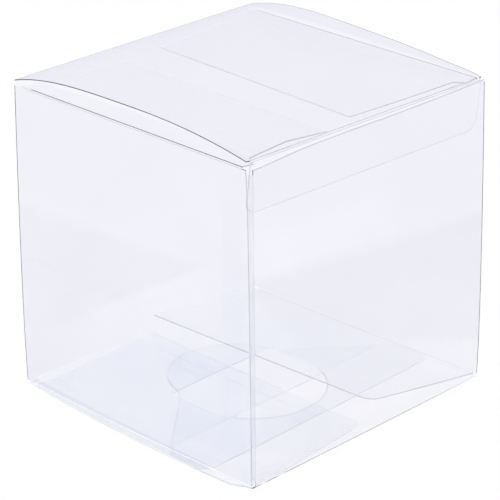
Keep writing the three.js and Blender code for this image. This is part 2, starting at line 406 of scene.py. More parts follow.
@dataclass(frozen=True)
class ZonePlaces:
    """Where light and shade are painted on the sheet, in metres, in the box's own space.

    The far walls' places go by their distance from their shared crease, measured level along the wall.

    Attributes:
        right_wall: What lies past this place along X is on the right wall.
        low_height: Height of the far walls' low zone at the crease.
        low_slope: How much higher it reaches for each metre from there.
        back_slope: How much more than that it does on the back wall.
        soft: Half the width of its edge.
        foot: Heights between which the bare strip along the back wall's foot starts.
        foot_away: Distances between which that strip does.
        corner_height: Height of the bare corner's edge at the crease, on the right wall.
        corner_slope: How much higher that edge runs for each metre from there.
        streak: How light the streak over the low zone is, on the right wall.
        streak_low: How far over the low zone's edge the streak starts and is full.
        streak_high: How far over it the streak ends and is still full.
        streak_away: Distances where it ends and is still full.
        lid_height: The lid's strip is this wide where its height is 0.
        lid_slope: How much wider it is for each metre of the lid's height.
        lid_soft: Half the width of its edge.
        crease_width: Width of the left dust flap's strip, in the middle.
        crease_fall: How much wider, or under 0 narrower, it is at the box's front and back.
        crease_power: Power of that fall.
        crease_soft: Half the width of its edge.
        base_side: Places along X where the painted shade along the base's left side starts and is full.
    """

    right_wall: float = 0.0495
    low_height: float = 0.0028
    low_slope: float = 0.56
    back_slope: float = 0.045
    soft: float = 0.003
    foot: Point = (0.019, 0.015)
    foot_away: Point = (0.09, 0.062)
    corner_height: float = -0.024
    corner_slope: float = 0.4
    streak: float = 0.7
    streak_low: Point = (0.0, 0.005)
    streak_high: Point = (0.022, 0.012)
    streak_away: Point = (0.07, 0.035)
    lid_height: float = -0.2132
    lid_slope: float = 1.6
    lid_soft: float = 0.0012
    crease_width: float = 0.01
    crease_fall: float = -0.004
    crease_power: float = 2.6
    crease_soft: float = 0.0008
    base_side: Point = (-0.046, -0.047)


class PaintedLightZones:
    """A shader node group for the zones of the sheet where light and shade are painted.

    It has one output for each, which is 1 in the zone and 0 outside.
    """

    NAME = "painted_light_zones"

    def __init__(self, places: ZonePlaces) -> None:
        """Builds the group's tree.

        Args:
            places: Where the zones lie.
        """
        self.places = places
        self.group = bpy.data.node_groups.new(self.NAME, "ShaderNodeTree")
        for zone in Zone:
            self.group.interface.new_socket(zone.value, in_out="OUTPUT", socket_type="NodeSocketFloat")
        tree = Tree(self.group)
        wanted = tree.node("NodeGroupOutput").inputs
        x, y, z = tree.split(tree.node("ShaderNodeTexCoord").outputs["Object"])
        for zone, found in (
            (Zone.FAR_WALLS, self._far_walls(tree, x, y, z)),
            (Zone.LID_SIDE, self._lid_side(tree, x, z)),
            (Zone.LEFT_CREASE, self._left_crease(tree, x, y)),
            # painted shade along the base's left side
            (Zone.BASE_SIDE, tree.step(x, *places.base_side)),
        ):
            tree.set(wanted[zone.value], found)

    def _far_walls(self, tree: Tree, x: object, y: object, z: object) -> bpy.types.NodeSocket:
        """Returns the painted reflection on the back and right walls, a darker low zone that widens
        away from their shared crease.

        It leaves out a strip along the back wall's foot and the right wall's low front corner, and a
        lighter streak of painted reflection, below 0, lies over it on the right wall.

        Args:
            tree: The tree that the nodes go in.
            x: The socket for the place along X.
            y: The socket for the place along Y.
            z: The socket for the height.

        Returns:
            The zone's socket.
        """
        at = self.places
        on_right = tree.maths("GREATER_THAN", x, at.right_wall)
        on_back = tree.maths("SUBTRACT", 1.0, on_right)
        away = tree.maths("SUBTRACT", 2 * HALF * MM, tree.maths("ADD", x, y))
        slope = tree.maths("MULTIPLY_ADD", on_back, at.back_slope, at.low_slope)
        over = tree.maths("SUBTRACT", z, tree.maths("MULTIPLY_ADD", away, slope, at.low_height))
        low = tree.step(over, at.soft, -at.soft)
        foot = tree.maths("MULTIPLY", tree.step(z, *at.foot), tree.step(away, *at.foot_away))
        edge = tree.maths("MULTIPLY_ADD", away, at.corner_slope, at.corner_height)
        corner = tree.step(tree.maths("SUBTRACT", edge, z), -at.soft, at.soft)
        bare_foot = tree.maths("MULTIPLY", foot, on_back)
        bare = tree.maths("ADD", bare_foot, tree.maths("MULTIPLY", corner, on_right))
        shaded = tree.maths("MULTIPLY", low, tree.maths("SUBTRACT", 1.0, bare))
        streak = tree.maths("MULTIPLY", on_right, at.streak)
        for value, edge in ((over, at.streak_low), (over, at.streak_high), (away, at.streak_away)):
            streak = tree.maths("MULTIPLY", streak, tree.step(value, *edge))
        return tree.maths("SUBTRACT", shaded, streak)

    def _lid_side(self, tree: Tree, x: object, z: object) -> bpy.types.NodeSocket:
        """Adds the painted shade along the lid's right edge, a strip that is wider where the lid stands
        higher.

        Args:
            tree: The tree that the nodes go in.
            x: The socket for the place along X.
            z: The socket for the height.

        Returns:
            The zone's socket.
        """
        at = self.places
        width = tree.maths("MULTIPLY_ADD", z, at.lid_slope, at.lid_height)
        return tree.step(tree.maths("ADD", x, width), -at.lid_soft, at.lid_soft)

    def _left_crease(self, tree: Tree, x: object, y: object) -> bpy.types.NodeSocket:
        """Adds the painted shade along the left dust flap's crease, a strip that is widest in the
        middle.

        Args:
            tree: The tree that the nodes go in.
            x: The socket for the place along X.
            y: The socket for the place along Y.

        Returns:
            The zone's socket.
        """
        at = self.places
        share = tree.maths("ABSOLUTE", tree.maths("MULTIPLY", y, 1.0 / (HALF * MM)))
        end = tree.maths("POWER", share, at.crease_power)
        width = tree.maths("MULTIPLY_ADD", end, at.crease_fall, at.crease_width)
        out = tree.maths("ADD", x, HALF * MM)
        return tree.step(tree.maths("SUBTRACT", out, width), at.crease_soft, -at.crease_soft)


@dataclass(frozen=True)
class ClearFinish:
    """A clear or cloudy plastic finish.

    Attributes:
        tint: What a clean place lets through.
        cloud: What a cloudy place lets through.
        clear: How much is let through and not scattered.
        smooth: Roughness of a clean place.
        scuffed: Roughness of a scuffed place.
        wave: Height of the slow wave in the surface, in metres.
        index: Index of refraction.
        cloud_scale: How many clouds there are to a metre.
        stretch: How close together they lie along each axis.
        shade: How much of a lamp's light each face holds back.
        zone: The zone where light or shade is painted on it.
        painted_light_tint: The colour that the painted shade in that zone multiplies the rest by.
    """

    tint: Colour
    cloud: Colour
    clear: float = 1.0
    smooth: float = 0.0
    scuffed: float = 0.02
    wave: float = 0.00012
    index: float = 1.38
    cloud_scale: float = 22.0
    stretch: Place = (1.0, 1.0, 1.0)
    shade: float = 0.06
    zone: Zone | None = None
    painted_light_tint: Colour = WHITE

    @classmethod
    def cut(cls, tint: Colour, cloud: Colour, clear: float = 0.12, shade: float = 0.4) -> ClearFinish:
        """Returns the finish of a cut rim, which scatters most of what it lets through and is tinted
        dark as painted shade.
        """
        return cls(tint, cloud, clear, 0.3, 0.5, cloud_scale=60.0, shade=shade)

    def material(self, name: str, unevenness: FilmUnevennessAndPaintedLight, zones: PaintedLightZones) -> bpy.types.Material:
        """Returns the finish as a material.

        Args:
            name: The material's name.
            unevenness: The node group that the finish takes its unevenness from, and that multiplies in
                its painted light and shade.
            zones: The node group that it takes its painted light and shade from.

        Returns:
            The new material.
        """
        made = bpy.data.materials.new(name)
        made.use_nodes = True
        made.diffuse_color = (*self.tint, 0.4)
        tree = Tree(made.node_tree)
        shader = made.node_tree.nodes["Principled BSDF"]
        film = tree.node("ShaderNodeGroup", node_tree=unevenness.group)
        film.inputs["Clear Tint"].default_value = (*self.tint, 1.0)
        film.inputs["Cloud Tint"].default_value = (*self.cloud, 1.0)
        film.inputs["Cloud Scale"].default_value = self.cloud_scale
        film.inputs["Stretch"].default_value = self.stretch
        film.inputs["Painted Light Tint"].default_value = (*self.painted_light_tint, 1.0)
        # The zone's painted light and shade, if it has one.
        if self.zone:
            places = tree.node("ShaderNodeGroup", node_tree=zones.group).outputs
            tree.set(film.inputs["Zone"], places[self.zone.value])
        film.inputs["Smooth"].default_value = self.smooth
        film.inputs["Scuffed"].default_value = self.scuffed
        film.inputs["Wave Height"].default_value = self.wave
        tree.set(shader.inputs["Base Color"], film.outputs["Colour"])
        tree.set(shader.inputs["Roughness"], film.outputs["Roughness"])
        tree.set(shader.inputs["Normal"], film.outputs["Normal"])
        shader.inputs["Transmission Weight"].default_value = self.clear
        shader.inputs["IOR"].default_value = self.index
        path = tree.node("ShaderNodeLightPath").outputs
        lamp = tree.maths("MAXIMUM", path["Is Shadow Ray"], path["Is Diffuse Ray"])
        kept = tree.maths("MULTIPLY", lamp, 1.0 - self.shade)
        tree.set(shader.inputs["Alpha"], tree.maths("SUBTRACT", 1.0, kept))
        return made


DRAWN = (1.0, 1.0, 0.03)  # a stretch that draws the clouds out along Z

# The faces are one clear PET, save the dried glue: their tints differ part by part as painted light and
# shade.
FINISHES: dict[Film | Rim, ClearFinish] = {
    Film.WALL: ClearFinish((0.934, 0.934, 0.968), (0.946, 0.946, 0.974)),
    Film.FAR_WALL: ClearFinish(
        (0.934, 0.934, 0.968),
        (0.948, 0.948, 0.974),
        zone=Zone.FAR_WALLS,
        painted_light_tint=(0.962, 0.962, 0.966),
    ),
    Film.LID: ClearFinish(
        (0.934, 0.934, 0.968),
        (0.944, 0.944, 0.973),
        zone=Zone.LID_SIDE,
        painted_light_tint=(0.935, 0.935, 0.965),
    ),
    Film.FLAP: ClearFinish((0.98, 0.98, 0.986), (0.988, 0.988, 0.991)),
    Film.CURLED_FLAP: ClearFinish(
        (0.984, 0.984, 0.989),
        (0.992, 0.992, 0.994),
        zone=Zone.LEFT_CREASE,
        painted_light_tint=(0.945, 0.945, 0.975),
    ),
    Film.RAISED_FLAP: ClearFinish((0.966, 0.972, 0.99), (0.978, 0.982, 0.993)),
    Film.BASE: ClearFinish((0.938, 0.948, 0.98), (0.95, 0.958, 0.984)),
    Film.MAIN_FLAP: ClearFinish(
        (0.938, 0.948, 0.98),
        (0.95, 0.958, 0.984),
        zone=Zone.BASE_SIDE,
        painted_light_tint=(0.885, 0.89, 0.93),
    ),
    Film.LOCK: ClearFinish(
        (0.994, 0.998, 1.0), WHITE, zone=Zone.BASE_SIDE, painted_light_tint=(0.925, 0.935, 0.965)
    ),
    Film.TONGUE: ClearFinish((0.952, 0.96, 0.984), (0.964, 0.97, 0.988)),
    Film.GLUED: ClearFinish(
        (0.985, 0.988, 0.997),
        (0.999, 0.999, 1.0),
        index=1.03,
        cloud_scale=160.0,
        stretch=DRAWN,
    ),
    # The crease strips are tinted darker or paler, crease by crease, as painted shade.
    Film.STRIP: ClearFinish((0.92, 0.935, 0.968), (0.95, 0.962, 0.98), cloud_scale=90.0),
    Film.SOFT_STRIP: ClearFinish((0.935, 0.938, 0.97), (0.95, 0.952, 0.976), cloud_scale=90.0),
    Film.DARK_STRIP: ClearFinish((0.85, 0.86, 0.91), (0.9, 0.91, 0.945), cloud_scale=120.0),
    Film.FAINT_STRIP: ClearFinish(
        (0.955, 0.96, 0.98),
        (0.97, 0.975, 0.985),
        wave=0.0,
        index=1.0,
        cloud_scale=90.0,
    ),
    Film.GLUE: ClearFinish(
        (0.982, 0.986, 0.996),
        WHITE,
        scuffed=0.04,
        wave=0.0,
        index=1.0,
        cloud_scale=260.0,
        stretch=DRAWN,
    ),
    # Cut rims, tinted from darkest to palest as painted shade.
    Rim.DARK_CUT: ClearFinish.cut((0.1, 0.1, 0.14), (0.17, 0.175, 0.22), clear=0.1, shade=0.5),
    Rim.CUT: ClearFinish.cut((0.56, 0.57, 0.64), (0.66, 0.67, 0.73)),
    Rim.PALE_CUT: ClearFinish.cut((0.72, 0.73, 0.79), (0.8, 0.81, 0.86)),
    Rim.FAINT_CUT: ClearFinish.cut((0.87, 0.88, 0.92), (0.93, 0.935, 0.955), shade=0.3),
    Rim.LIGHT_CUT: ClearFinish.cut((0.95, 0.955, 0.98), (0.97, 0.972, 0.985), clear=0.0, shade=0.2),
    Rim.JOINED: ClearFinish(WHITE, WHITE, scuffed=0.0, wave=0.0, index=1.0, shade=0.0),
}


@dataclass
class Finishes:
    """The box's materials, by their finishes.

    Attributes:
        made: The materials, by name.
    """

    made: dict[str, bpy.types.Material]

    @classmethod
    def make(cls) -> Finishes:
        """Makes a material of every finish.

        Returns:
            The new finishes.
        """
        unevenness, zones = FilmUnevennessAndPaintedLight(), PaintedLightZones(ZonePlaces())
        made: dict[str, bpy.types.Material] = {}
        for key, finish in FINISHES.items():
            made[key.value] = finish.material(key.value, unevenness, zones)
        return cls(made)

    def of(self, key: Film | Rim) -> bpy.types.Material:
        """Returns the material of a finish."""
        return self.made[key.value]


@dataclass(frozen=True)
class Settling:
    """How the box has settled out of square.

    Two of its upright creases stand out between their ends, the foot of the left wall bows out, and the
    front wall's foot runs up to the right.

    Attributes:
        left: How far the back left crease stands out.
        right: How far the front right one does.
        height: Where they stand out most.
        bow: How far the left wall's foot bows out.
        bow_height: Height over which that runs out.
        lift: How far the right end of the front wall's foot is up.
        lift_height: Height over which that runs out.
    """

    left: float = 0.65
    right: float = 0.7
    height: float = 30.0
    bow: float = 1.1
    bow_height: float = 60.0
    lift: float = 1.0
    lift_height: float = 30.0

    def shift(self, places: np.ndarray) -> np.ndarray:
        """Moves places by the settling.

        Args:
            places: The places, in millimetres.

        Returns:
            The moved places.
        """
        x, y, z = places.T
        above = np.clip((z - self.height) / (SIDE_TOP - self.height), 0.0, 1.0)
        below = np.clip((self.height - z) / (self.height * 1.25), 0.0, 1.0)
        share = (1.0 - above**2) * (1.0 - below**2) / math.sqrt(2.0)
        out_left = self.left * share * (HALF - x) * (HALF + y) / (4 * HALF**2)
        out_right = self.right * share * (HALF + x) * (HALF - y) / (4 * HALF**2)
        low = np.clip(1.0 - z / self.bow_height, 0.0, 1.0) ** 2
        foot = low * np.clip(1.0 - (y / HALF) ** 2, 0.0, 1.0)
        bow = self.bow * foot * ((HALF - x) / (2 * HALF)) ** 2
        corner = np.clip((HALF + x) / (2 * HALF), 0.0, 1.0) ** 1.5 * (HALF - y) / (2 * HALF)
        lift = self.lift * np.clip(corner, 0.0, 1.0) * np.clip(1.0 - z / self.lift_height, 0.0, 1.0)
        return np.stack([x - out_left + out_right - bow, y + out_left - out_right, z + lift], 1)

    def settle(self, mesh: bpy.types.Mesh) -> None:
        """Moves a mesh's points by the settling.

        Args:
            mesh: The mesh, in metres.
        """
        places = np.empty(len(mesh.vertices) * 3)
        mesh.vertices.foreach_get("co", places)
        moved = self.shift(places.reshape(-1, 3) / MM) * MM
        mesh.vertices.foreach_set("co", moved.ravel())
        mesh.update()


SETTLING = Settling()


# Panels


@dataclass
class Outline:
    """The outline of a panel as it is die-cut, in the panel's own two directions.

    Attributes:
        border: The corners of its border, anticlockwise.
        windows: The corners of each window in it.
        rim: Gives the rim's finish at a place on the border.
        burr: Width of the band along the rim that the cut has strained, which also takes the rim's
            painted shade, or 0 for none.
    """

    MERGED = 1e-5  # points nearer to each other than this are one
    CLEAR_OF_RIM = 0.45  # how far the inner points keep from the rim, as a share of their spacing

    border: list[Point]
    windows: list[list[Point]] = field(default_factory=list)
    rim: Callable[[float, float], Rim] = lambda u, v: Rim.CUT
    burr: float = 0.22

    @classmethod
    def joined(cls, border: list[Point]) -> Outline:
        """Returns the outline of a panel that is joined to its neighbours all round."""
        return cls(border, rim=lambda u, v: Rim.JOINED, burr=0.0)

    def holds(self, places: np.ndarray) -> np.ndarray:
        """Tells which places lie in the panel.

        Args:
            places: The places.

        Returns:
            True for each place that does.
        """
        inside = np.zeros(len(places), bool)
        for loop in (self.border, *self.windows):
            a = np.array(loop)
            b = np.roll(a, -1, 0)
            for (ax, ay), (bx, by) in zip(a, b, strict=True):
                if ay == by:
                    continue
                crosses = (ay > places[:, 1]) != (by > places[:, 1])
                at = ax + (places[:, 1] - ay) * (bx - ax) / (by - ay)
                inside ^= crosses & (places[:, 0] < at)
        return inside

    def distance(self, places: np.ndarray) -> np.ndarray:
        """Measures how far places lie from the nearest rim.

        Args:
            places: The places.

        Returns:
            The distances.
        """
        least = np.full(len(places), np.inf)
        for loop in (self.border, *self.windows):
            a = np.array(loop)
            d = np.roll(a, -1, 0) - a
            for start, run in zip(a, d, strict=True):
                share = np.clip((places - start) @ run / max(run @ run, 1e-12), 0.0, 1.0)
                least = np.minimum(least, np.linalg.norm(places - start - share[:, None] * run, axis=1))
        return least

    def nearest(self, place: np.ndarray) -> np.ndarray:
        """Finds the nearest place on the rim.

        Args:
            place: A place in the panel.

        Returns:
            The place on the rim.
        """
        best, least = place, math.inf
        for loop in (self.border, *self.windows):
            a = np.array(loop)
            run = np.roll(a, -1, 0) - a
            share = np.clip(((place - a) * run).sum(1) / np.maximum((run**2).sum(1), 1e-12), 0.0, 1.0)
            on = a + share[:, None] * run
            far = np.linalg.norm(on - place, axis=1)
            if far.min() < least:
                best, least = on[far.argmin()], far.min()
        return best

    @staticmethod
    def divide(loop: list[Point], spacing: float) -> np.ndarray:
        """Puts even steps between a loop's corners.

        Args:
            loop: The corners.
            spacing: How long a step is, about.

        Returns:
            The corners and the steps, in order.
        """
        points: list[Point] = []
        for a, b in zip(loop, loop[1:] + loop[:1], strict=True):
            steps = max(1, round(math.dist(a, b) / spacing))
            run = (b[0] - a[0], b[1] - a[1])
            points += [(a[0] + run[0] * k / steps, a[1] + run[1] * k / steps) for k in range(steps)]
        return np.array(points)

    @staticmethod
    def inset(loop: np.ndarray, by: float) -> np.ndarray:
        """Moves an anticlockwise loop to its left.

        Args:
            loop: The loop's points.
            by: How far it moves.

        Returns:
            The moved points.
        """
        run = np.roll(loop, -1, 0) - loop
        normal = np.stack([-run[:, 1], run[:, 0]], 1) / np.linalg.norm(run, axis=1)[:, None]
        before = np.roll(normal, 1, 0)
        turn = np.maximum(1.0 + (normal * before).sum(1), 0.3)
        return loop + by * (normal + before) / turn[:, None]

    def fill(self, spacing: float) -> tuple[np.ndarray, list[tuple[int, int, int]]]:
        """Fills the outline with an even mesh of triangles, with a narrow band along the rim.

        Args:
            spacing: The distance between the mesh's points.

        Returns:
            The points, and three point numbers for each triangle, anticlockwise.
        """
        corners: list[Point] = []
        edges: list[tuple[int, int]] = []
        for number, loop in enumerate((self.border, *self.windows)):
            divided = self.divide(loop, spacing)
            loops = [divided]
            if self.burr:
                loops.append(self.inset(divided, -self.burr if number else self.burr))
            for points in loops:
                first, count = len(corners), len(points)
                corners += [tuple(point) for point in points]
                edges += [(first + k, first + (k + 1) % count) for k in range(count)]
        low, high = np.min(self.border, 0), np.max(self.border, 0)
        count = np.maximum(np.round((high - low) / spacing).astype(int), 1)
        u, v = (np.linspace(low[i], high[i], count[i] + 1)[1:-1] for i in (0, 1))
        grid = np.array([(a, b) for b in v for a in u]).reshape(-1, 2)
        grid = grid[self.holds(grid) & (self.distance(grid) > spacing * self.CLEAR_OF_RIM)]
        points = [Vector(p) for p in corners] + [Vector(p) for p in grid]
        placed, _, faces, *_ = delaunay_2d_cdt(points, edges, [], 0, self.MERGED)
        where = np.array([tuple(p) for p in placed])
        centres = np.array([where[list(f)].mean(0) for f in faces])
        keep = self.holds(centres)
        return where, [tuple(f) for f, k in zip(faces, keep, strict=True) if k]


@dataclass
class Panel:
    """A panel of the sheet, from its outline and the surface that it is bent to.

    Attributes:
        name: The piece's name.
        node: The frame's node that it stands for, if any.
        body: The body that it moves with.
        outline: Its outline.
        surface: Gives the place in space of one face of the sheet, from places on the outline.
        grow: How far the other face lies along the surface's normal.
        film: The finish of its faces.
        spacing: The distance between the mesh's points.
        slot: The record's material slot that it stands for; it is not used.
    """

    NORMAL_STEP = 0.05  # how far to each side the surface is read for its normal
    IN_BURR = 0.8  # share of the burr's width where the middle of a face of the burr lies

    name: str
    node: str | None
    body: Body
    outline: Outline
    surface: Surface
    grow: float
    film: Film = Film.WALL
    spacing: float = 3.0
    slot: Slot = Slot.SHEET

    def _normals(self, where: np.ndarray) -> np.ndarray:
        """Finds the surface's normals.

        Args:
            where: The places on the outline.

        Returns:
            The normal at each place.
        """
        step = self.NORMAL_STEP
        u, v = where[:, 0], where[:, 1]
        along_u = self.surface(u + step, v) - self.surface(u - step, v)
        along_v = self.surface(u, v + step) - self.surface(u, v - step)
        normal = np.cross(along_u, along_v)
        return normal / np.linalg.norm(normal, axis=1)[:, None]

    def mesh(self, finishes: Finishes) -> bpy.types.Mesh:
        """Returns the panel as a closed mesh, in metres, with its materials.

        Args:
            finishes: The finishes of the box.

        Returns:
            The new mesh.
        """
        where, triangles = self.outline.fill(self.spacing)
        first = self.surface(where[:, 0], where[:, 1])
        second = first + self._normals(where) * self.grow
        count = len(where)
        out, back = (first, second) if self.grow < 0 else (second, first)
        faces: list[tuple[int, ...]] = list(triangles)
        faces += [tuple(count + k for k in reversed(t)) for t in triangles]
        keys: list[Film | Rim] = [self.film] * len(faces)
        # Faces in the band along the rim take the rim's finish, spreading its painted shade onto the
        # face.
        centres = np.array([where[list(t)].mean(0) for t in triangles])
        for place in np.flatnonzero(self.outline.distance(centres) < self.outline.burr * self.IN_BURR):
            edge = self.outline.rim(*self.outline.nearest(centres[place]))
            keys[place] = self.film if edge is Rim.JOINED else edge
        sides = {(t[k], t[(k + 1) % 3]) for t in triangles for k in range(3)}
        for a, b in sorted(sides):
            if (b, a) in sides:
                continue
            faces.append((b, a, count + a, count + b))
            keys.append(self.outline.rim(*(where[a] + where[b]) / 2))
        made = bpy.data.meshes.new(self.name)
        made.from_pydata((SETTLING.shift(np.vstack([out, back])) * MM).tolist(), [], faces)
        used = list(dict.fromkeys(key.value for key in keys))
        for name in used:
            made.materials.append(finishes.made[name])
        made.polygons.foreach_set("material_index", [used.index(key.value) for key in keys])
        return smoothed(made)

    def build(self, finishes: Finishes) -> bpy.types.Object:
        """Builds the panel and puts it on its body.

        Args:
            finishes: The finishes of the box.

        Returns:
            The finished piece.
        """
        made = link(bpy.data.objects.new(self.name, self.mesh(finishes)))
        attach(made, self.body.value)
        if self.node:
            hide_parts(self.node)
        LOG.info("%s: %d faces", self.name, len(made.data.polygons))
        return made


# Creases


class SheetTree(ABC):
    """A Geometry Nodes tree that bends a square and gives it the sheet's thickness.

    Attributes:
        NAME: The tree's name.
        MEASURES: The names of its inputs that take a number.
        COUNTS: The names of those that take a whole number.
        MATERIALS: The names of those that take a material.
    """

    NAME: str
    MEASURES: tuple[str, ...]
    COUNTS: tuple[str, ...]
    MATERIALS: tuple[str, ...]

    def __init__(self) -> None:
        """Builds the tree."""
        self.group = bpy.data.node_groups.new(self.NAME, "GeometryNodeTree")
        face = self.group.interface
        self.sockets: dict[str, str] = {}
        for names, kind in (
            (self.MEASURES, "NodeSocketFloat"),
            (self.COUNTS, "NodeSocketInt"),
            (self.MATERIALS, "NodeSocketMaterial"),
        ):
            for name in names:
                made = face.new_socket(name, in_out="INPUT", socket_type=kind)
                self.sockets[name] = made.identifier
        face.new_socket("Geometry", in_out="OUTPUT", socket_type="NodeSocketGeometry")
        self.tree = Tree(self.group)
        self.given = self.tree.node("NodeGroupInput").outputs
        self.tree.set(self.tree.node("NodeGroupOutput").inputs[0], self._build())

    @abstractmethod
    def _build(self) -> bpy.types.NodeSocket:
        """Adds and joins the tree's nodes.

        Returns:
            The socket of the finished mesh.
        """

    def _square(self, columns: str, rows: str) -> tuple[bpy.types.NodeSocket, ...]:
        """Adds a flat square, a metre wide, round the origin.

        Args:
            columns: The input that says how many points it has along X.
            rows: The input that says how many it has along Y.

        Returns:
            The sockets of the square, and of a point's places along X and Y.
        """
        flat = self.tree.node("GeometryNodeMeshGrid")
        flat.inputs["Size X"].default_value = 1.0
        flat.inputs["Size Y"].default_value = 1.0
        self.tree.set(flat.inputs["Vertices X"], self.given[columns])
        self.tree.set(flat.inputs["Vertices Y"], self.given[rows])
        x, y, _ = self.tree.split(self.tree.node("GeometryNodeInputPosition").outputs[0])
        return flat.outputs["Mesh"], x, y

    def _moved(self, mesh: object, x: object, y: object, z: object) -> bpy.types.NodeSocket:
        """Moves each point of a mesh.

        Args:
            mesh: The socket of the mesh.
            x: The socket for a point's new place along X.
            y: The socket for it along Y.
            z: The socket for it along Z.

        Returns:
            The socket of the moved mesh.
        """
        place = self.tree.node("ShaderNodeCombineXYZ")
        for socket, source in zip(place.inputs, (x, y, z), strict=True):
            self.tree.set(socket, source)
        made = self.tree.node("GeometryNodeSetPosition")
        self.tree.set(made.inputs["Geometry"], mesh)
        self.tree.set(made.inputs["Position"], place.outputs[0])
        return made.outputs[0]

    def _thickened(self, face: bpy.types.NodeSocket) -> tuple[bpy.types.NodeSocket, ...]:
        """Gives an open face the thickness on its inner side, closes it and makes it real.

        Args:
            face: The socket of the open face.

        Returns:
            The socket of the closed mesh, and the one that selects its rim.
        """
        tree = self.tree
        drawn = tree.node("GeometryNodeExtrudeMesh", mode="FACES")
        tree.set(drawn.inputs["Mesh"], face)
        tree.set(drawn.inputs["Offset Scale"], tree.maths("MULTIPLY", self.given["Thickness"], -1.0))
        drawn.inputs["Individual"].default_value = False
        turned = tree.node("GeometryNodeFlipFaces")
        tree.set(turned.inputs["Mesh"], drawn.outputs["Mesh"])
        joined = tree.node("GeometryNodeJoinGeometry")
        for part in (turned.outputs["Mesh"], face):
            tree.set(joined.inputs[0], part)
        merged = tree.node("GeometryNodeMergeByDistance")
        tree.set(merged.inputs["Geometry"], joined.outputs[0])
        merged.inputs["Distance"].default_value = 1e-6
        real = tree.node("GeometryNodeRealizeInstances")
        tree.set(real.inputs[0], merged.outputs[0])
        return real.outputs[0], drawn.outputs["Side"]

    def _dressed(self, mesh: object, finish: str, selection: object = True) -> bpy.types.NodeSocket:
        """Gives a mesh, or the selected part of it, a material.

        Args:
            mesh: The socket of the mesh.
            finish: The input that the material comes from.
            selection: The socket of the selected part.

        Returns:
            The socket of the dressed mesh.
        """
        made = self.tree.node("GeometryNodeSetMaterial")
        self.tree.set(made.inputs["Geometry"], mesh)
        self.tree.set(made.inputs["Selection"], selection)
        self.tree.set(made.inputs["Material"], self.given[finish])
        return made.outputs[0]

    def mesh(self, name: str, values: dict[str, object]) -> bpy.types.Mesh:
        """Returns the mesh that the tree makes.

        Args:
            name: The mesh's name.
            values: A value for each of the tree's inputs, by name.

        Returns:
            The new mesh, in metres.
        """
        maker = link(bpy.data.objects.new(name + "_maker", bpy.data.meshes.new(name)))
        modifier = maker.modifiers.new("sheet", "NODES")
        modifier.node_group = self.group
        for socket, value in values.items():
            modifier[self.sockets[socket]] = value
        evaluated = maker.evaluated_get(bpy.context.evaluated_depsgraph_get())
        made = bpy.data.meshes.new_from_object(evaluated)
        bpy.data.objects.remove(maker)
        made.name = name
        return made


class CreaseTree(SheetTree):
    """The tree of a crease: a strip of sheet that bends round a line, grooved along its middle."""

    NAME = "crease_strip"
    MEASURES = ("Length", "Outer Radius", "Thickness", "Bend", "Groove")
    COUNTS = ("Bend Steps", "Length Steps")
    MATERIALS = ("Face Finish", "Rim Finish")

    def _build(self) -> bpy.types.NodeSocket:
        """Adds and joins the tree's nodes.

        Returns:
            The socket of the finished mesh.
        """
        tree, given = self.tree, self.given
        flat, x, y = self._square("Bend Steps", "Length Steps")
        along = tree.maths("ADD", x, 0.5)
        angle = tree.maths("MULTIPLY", along, given["Bend"])
        hump = tree.maths("SINE", tree.maths("MULTIPLY", along, math.pi))
        sunk = tree.maths("MULTIPLY", hump, given["Groove"])
        radius = tree.maths("SUBTRACT", given["Outer Radius"], sunk)
        bent = self._moved(
            flat,
            tree.maths("MULTIPLY", radius, tree.maths("COSINE", angle)),
            tree.maths("MULTIPLY", radius, tree.maths("SINE", angle)),
            tree.maths("MULTIPLY", given["Length"], y),
        )
        closed, rim = self._thickened(bent)
        return self._dressed(self._dressed(closed, "Face Finish"), "Rim Finish", rim)


@dataclass
class Crease:
    """A crease between two panels.

    Attributes:
        name: The piece's name.
        bodies: The body that it rides on, or the two that it bends between.
        centre: The middle of the line that it bends round.
        start: The outward direction of the panel that it starts from.
        axis: The direction of the line that it bends round.
        bend: The angle that it turns the sheet through, in degrees.
        length: Its length.
        radius: The outer radius of the bend.
        lean: How much it rises for each millimetre along X.
        film: Its finish.
    """

    GROOVE = 0.03  # depth of the groove that the creasing rule leaves
    BEND_POINTS = 9
    LENGTH_POINTS = 33

    name: str
    bodies: tuple[Body, ...]
    centre: Place
    start: Place
    axis: Place
    bend: float
    length: float
    radius: float = BEND
    lean: float = 0.0
    film: Film = Film.STRIP

    def _frame(self) -> Matrix:
        """Finds the strip's place.

        Returns:
            The matrix that puts it there.
        """
        x, z = Vector(self.start).normalized(), Vector(self.axis).normalized()
        y = z.cross(x)
        place = Matrix((x, y, z)).transposed().to_4x4()
        place.translation = Vector(self.centre) * MM
        return place

    def build(self, tree: CreaseTree, finishes: Finishes) -> bpy.types.Object:
        """Builds the strip, and puts it on its body if it rides on one.

        Args:
            tree: The Geometry Nodes tree of a crease.
            finishes: The finishes of the box.

        Returns:
            The finished piece.
        """
        mesh = tree.mesh(
            self.name,
            {
                "Length": self.length * MM,
                "Outer Radius": self.radius * MM,
                "Thickness": SHEET * MM,
                "Bend": math.radians(self.bend),
                "Groove": self.GROOVE * MM,
                "Bend Steps": self.BEND_POINTS,
                "Length Steps": self.LENGTH_POINTS,
                "Face Finish": finishes.of(self.film),
                "Rim Finish": finishes.of(Rim.JOINED),
            },
        )
        mesh.transform(self._frame())
        if self.lean:
            mesh.transform(Matrix(((1, 0, 0, 0), (0, 1, 0, 0), (self.lean, 0, 1, 0), (0, 0, 0, 1))))
        SETTLING.settle(mesh)
        made = link(bpy.data.objects.new(self.name, smoothed(mesh)))
        if len(self.bodies) == 1:
            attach(made, self.bodies[0].value)
        else:
            self._span(made)
        LOG.info("%s: %d faces", self.name, len(mesh.polygons))
        return made

    def _span(self, made: bpy.types.Object) -> None:
        """Bakes the strip's place into its mesh, and puts it on neither body.

        Args:
            made: The strip's object.
        """
        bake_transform(made)


# Sub-assemblies


